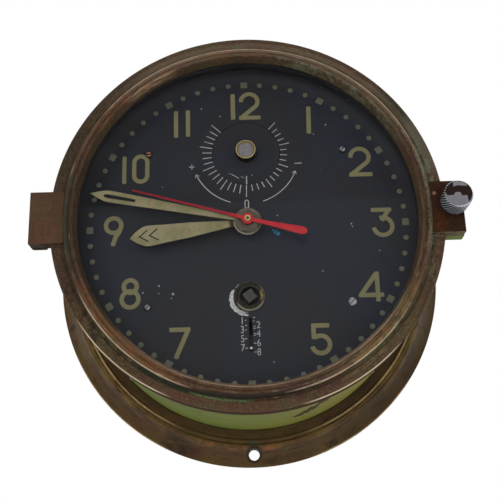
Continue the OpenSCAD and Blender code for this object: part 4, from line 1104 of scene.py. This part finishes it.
def makeReserve(s):
    rng = random.Random(4)
    parts = []
    for i in range(8):
        parts.append(digit("12345678"[i], s["right"] if i % 2 else s["left"], s["top"] - i * s["step"], s))
    for x, up in s["ticks"]:  # short worn ticks on both sides of the slot
        half = rng.uniform(0.3, 0.6)
        ends = [(x - half, up + rng.uniform(-0.15, 0.15)), (x + half, up)]
        parts.append(stroke(ends, s["tick"], dialFace + s["tickThick"], s["tickThick"] + sunk))
    finishPiece(join(parts, "reserveScale"), "case", "pointer_white", "mark")


makeReserve(reserveSet)
print("reserve scale laid")

# chips, specks and the worn ring
chipSet = {"deep": 0.02, "thick": 0.06,
           "white": [(36.6, 47.7, 0.3), (30.9, 43.3, 0.25), (45.3, -0.2, 0.32), (45.7, -1.5, 0.3), (35.6, 67.0, 0.2),
                     (47.8, 59.8, 0.2), (13.1, 4.6, 0.28), (31.7, -21.4, 0.35), (56.7, -12.8, 0.3), (9.3, -60.1, 0.3),
                     (-19.7, 57.5, 0.3), (-11.3, 53.4, 0.35), (-37.4, 19.4, 0.22), (-38.7, -26.0, 0.45),
                     (-32.7, -29.7, 0.55), (-33.4, -31.6, 0.3), (-45.5, -28.8, 0.35), (-38.7, -29.3, 0.25)],
           "teal": [(11.8, -3.0, 0.75), (13.1, -3.8, 0.95), (14.8, 0.9, 0.8), (10.9, -2.1, 0.45), (12.4, -2.4, 0.4)],
           "olive": [(-3.2, -37.9, 0.7), (-2.2, -38.5, 0.8), (-1.2, -38.7, 0.5)]}


def flake(s, seed, x, up, size):  # ragged little flake
    rng = random.Random(seed)
    middle = spot(x, up, dialFace - s["deep"])
    obj = circle("flake", 11, size, middle)
    for v in obj.data.vertices:
        v.co = middle + (v.co - middle) * rng.uniform(0.55, 1.25)
    editAll(obj, "FACE")
    extrude(s["thick"])
    faceOut()
    return obj


chipPieces = (("white", 0, "dialChips", "pointer_white", "chip"), ("teal", 40, "tealSpecks", "dial_black", "teal"),
              ("olive", 60, "oliveStain", "hand_lume", "minute"))
for key, seed, name, slot, look in chipPieces:
    flakes = [flake(chipSet, seed + i, *where) for i, where in enumerate(chipSet[key])]
    finishPiece(join(flakes, name), "case", slot, look)

wornSet = {"x": 0.95, "up": -31.9, "inner": 7.95, "thick": 0.05, "from": 155, "to": 258, "count": 44,
           "least": 0.3, "most": 1.75, "scratch": [(-5.9, -27.7), (-4.5, -26.1)], "scratchWide": 0.22,
           "edge": (0.2, -31.9, 7.35, 212, 252, 12), "edgeWide": 0.5}


def makeWorn(s):  # paint rubbed off to bare metal round the left of the winding washer
    rng = random.Random(9)
    count, high, deep = s["count"], dialFace + s["thick"], s["thick"] + sunk
    obj = strip(count)
    for i in range(count):
        k = i / (count - 1)
        a = radians(s["from"] + (s["to"] - s["from"]) * k)
        width = s["least"] + s["most"] * sin(pi * k ** 0.8) ** 0.7 * rng.uniform(0.75, 1.15)
        for row, r in ((0, s["inner"] + width), (count, s["inner"])):
            obj.data.vertices[row + i].co = spot(s["x"] + r * cos(a), s["up"] + r * sin(a), high)
    apply(obj, "SOLIDIFY", thickness=deep * mm, offset=-1)
    scratch = stroke(s["scratch"], s["scratchWide"], high, deep)
    edge = stroke(arc(*s["edge"]), s["edgeWide"], high, deep)
    finishPiece(join([obj, scratch, edge], "wornPaint"), "case", "pointer_white", "chip")


makeWorn(wornSet)
print("chips and worn paint laid")

# hands
handSet = {"hour_hand": ("hourHand", "hour", "hand_lume", "hand"),
           "minute_hand": ("minuteHand", "minute", "hand_lume", "hand"),
           "seconds_hand": ("secondsHand", "seconds", "second_red", "red")}
handEdge = 0.12
for node, (name, body, slot, look) in handSet.items():
    finishPiece(dressedCopy(node, name, handEdge), body, slot, look, node)


def along(turn, across, forward):  # point on a hand, forward towards its tip
    a = radians(90 - turn)
    return forward * cos(a) + across * sin(a), forward * sin(a) - across * cos(a)


chevronSet = {"turn": 262.9, "tips": (46.9, 42.5), "half": 2.6, "back": 3.7, "line": 0.52, "high": dialFace + 6.55,
              "thick": 0.08}


def makeChevrons(s):
    parts = []
    for tip in s["tips"]:
        path = [along(s["turn"], sign * s["half"], tip - s["back"] * abs(sign)) for sign in (-1, 0, 1)]
        parts.append(stroke(path, s["line"], s["high"], s["thick"]))
    finishPiece(join(parts, "hourChevrons"), "hour", "dial_black", "ink")


makeChevrons(chevronSet)

nutSet = {"radius": 5.3, "low": 88.55, "high": 89.05, "turn": -66, "ring": 2.2, "chamfer": 0.25}


def makeNut(s):  # six-sided nut on the minute pipe
    nut = circle("minuteNut", 6, s["radius"], spot(0, 0, s["low"]), turn=s["turn"])
    editAll(nut, "FACE")
    inset(s["ring"])
    bpy.ops.mesh.delete(type="ONLY_FACE")
    everything()
    extrude(s["high"] - s["low"])
    faceOut()
    apply(nut, "BEVEL", width=s["chamfer"] * mm, segments=2, angle_limit=radians(30))
    smooth(nut)
    finishPiece(nut, "minute", "steel", "hub")


makeNut(nutSet)

pinSet = {"radius": 1.3, "low": 91.0, "high": 91.6, "rim": 0.6, "deep": 0.15, "chamfer": 0.1, "taper": 0.92}


def makePin(s):  # brass cap on the end of the seconds arbor
    middle = spot(0, 0, s["low"])
    cap = circle("secondsPin", 36, s["radius"], middle)
    editAll(cap, "FACE")
    extrude(s["high"] - s["low"] - s["chamfer"])
    extrude(s["chamfer"])
    widen(s["taper"], middle)
    inset(s["rim"])
    extrude(-s["deep"])
    faceOut()
    smooth(cap)
    finishPiece(cap, "seconds", "wheel_brass", "pin")


makePin(pinSet)
print("hands dressed")

finishPiece(dressedCopy("dial_screws", "dialScrews", 0.1), "case", "steel", "dialScrew", "dial_screws")

# regulator centre
pinion = dressedCopy("regulator_pinion", "regulatorPinion", 0.08)
finishPiece(pinion, "regulator", "plate_brass", "regulator", "regulator_pinion")

discSet = {"up": 34.8, "radius": 3.3, "low": 3.78, "thick": 0.06, "edge": 0.3, "crown": 0.05}


def makeDisc(s):
    disc = circle("regulatorFace", 48, s["radius"], spot(0, s["up"], dialFace + s["low"]))
    editAll(disc, "FACE")
    extrude(s["thick"])
    inset(s["edge"])
    bpy.ops.transform.translate(value=(0, -s["crown"] * mm, 0))
    faceOut()
    smooth(disc, 40)
    finishPiece(disc, "regulator", "steel", "lilacDisc")


makeDisc(discSet)
print("regulator centre made")

# light and surroundings
lightSet = {"ambient": 0.62, "lamps": [("keyLamp", (-0.3, -1.25, 0.12), 0.9, 5.4),  # place, size, power
                                       ("fillLamp", (0.5, -0.9, -0.5), 1.2, 3.6),
                                       ("lowLamp", (-0.1, -0.5, -0.75), 0.9, 3.0)]}
for name, middle, size, power in lightSet["lamps"]:
    bpy.ops.object.light_add(type="AREA", location=middle)
    lamp = bpy.context.object
    lamp.name = name
    lamp.data.shape = "DISK"
    lamp.data.size = size
    lamp.data.energy = power
    lamp.rotation_mode = "QUATERNION"
    lamp.rotation_quaternion = Vector(middle).to_track_quat("Z", "Y")
    lamp.visible_glossy = name != "keyLamp"  # or its image lies on the glass

cardSet = {"grey": ("greyCard", -2.6, [(-2.3, -0.6, 3.4), (2.6, -0.6, 3.4)], (128, 127, 131)),
           "dark": ("darkCard", -2.5, [(-2.0, 0.93, 1.9), (0.686, 0.93, 1.9), (0.688, 0.924, 1.9), (0.71, 0.925, 1.9),
                                       (0.712, 0.926, 0.955), (0.716, 0.934, 0.958), (0.728, 0.936, 0.96),
                                       (0.736, 0.932, 0.96), (0.738, 0.922, 0.959), (0.757, 0.923, 0.957),
                                       (0.759, 0.902, 0.956), (0.763, 0.9, 1.9), (2.3, 0.9, 1.9)], (46, 35, 31))}


def makeCard(name, depth, columns, colour):  # flag that only reflections see, (across, low, high) at each column
    nothing()
    count = len(columns)
    card = strip(count, 1)
    for i, v in enumerate(card.data.vertices):
        x, low, high = columns[i % count]
        v.co = (x, depth, high if i >= count else low)
    settle(card, name)
    mat = bpy.data.materials.new(name)
    mat.use_nodes = True
    tree = now["tree"] = mat.node_tree
    tree.nodes.remove(tree.nodes["Principled BSDF"])
    glow = put("Emission", {"Color": seen(colour), "Strength": 1.0}).outputs[0]
    tree.links.new(glow, tree.nodes["Material Output"].inputs["Surface"])
    card.data.materials.append(mat)
    for kind in ("camera", "diffuse", "shadow", "transmission", "volume_scatter"):
        setattr(card, "visible_" + kind, False)


for card in cardSet.values():
    makeCard(*card)

world = bpy.data.worlds.new("studio")
bpy.context.scene.world = world
world.use_nodes = True
tree = now["tree"] = world.node_tree
rays = put("LightPath").outputs
seenRays = most(rays["Is Camera Ray"], rays["Is Glossy Ray"], rays["Is Transmission Ray"])
tree.links.new(ramp(seenRays, 0, 1, lightSet["ambient"], 1.0), tree.nodes["Background"].inputs["Strength"])
tree.nodes["Background"].inputs["Color"].default_value = (1, 1, 1, 1)

nothing()
bpy.ops.mesh.primitive_plane_add(size=6, location=(0, 0, -0.45))
floor = settle(bpy.context.object, "floor")
newFinish(None, "paleFloor", 0.8, spec=0.2)
ground(ramp(noise(300, 2, 0.5, 1), 0.3, 0.7), (236, 236, 235), (228, 228, 227))
floor.data.materials.append(done())

view = bpy.context.scene.view_settings
view.view_transform = "Standard"
print("studio lit")
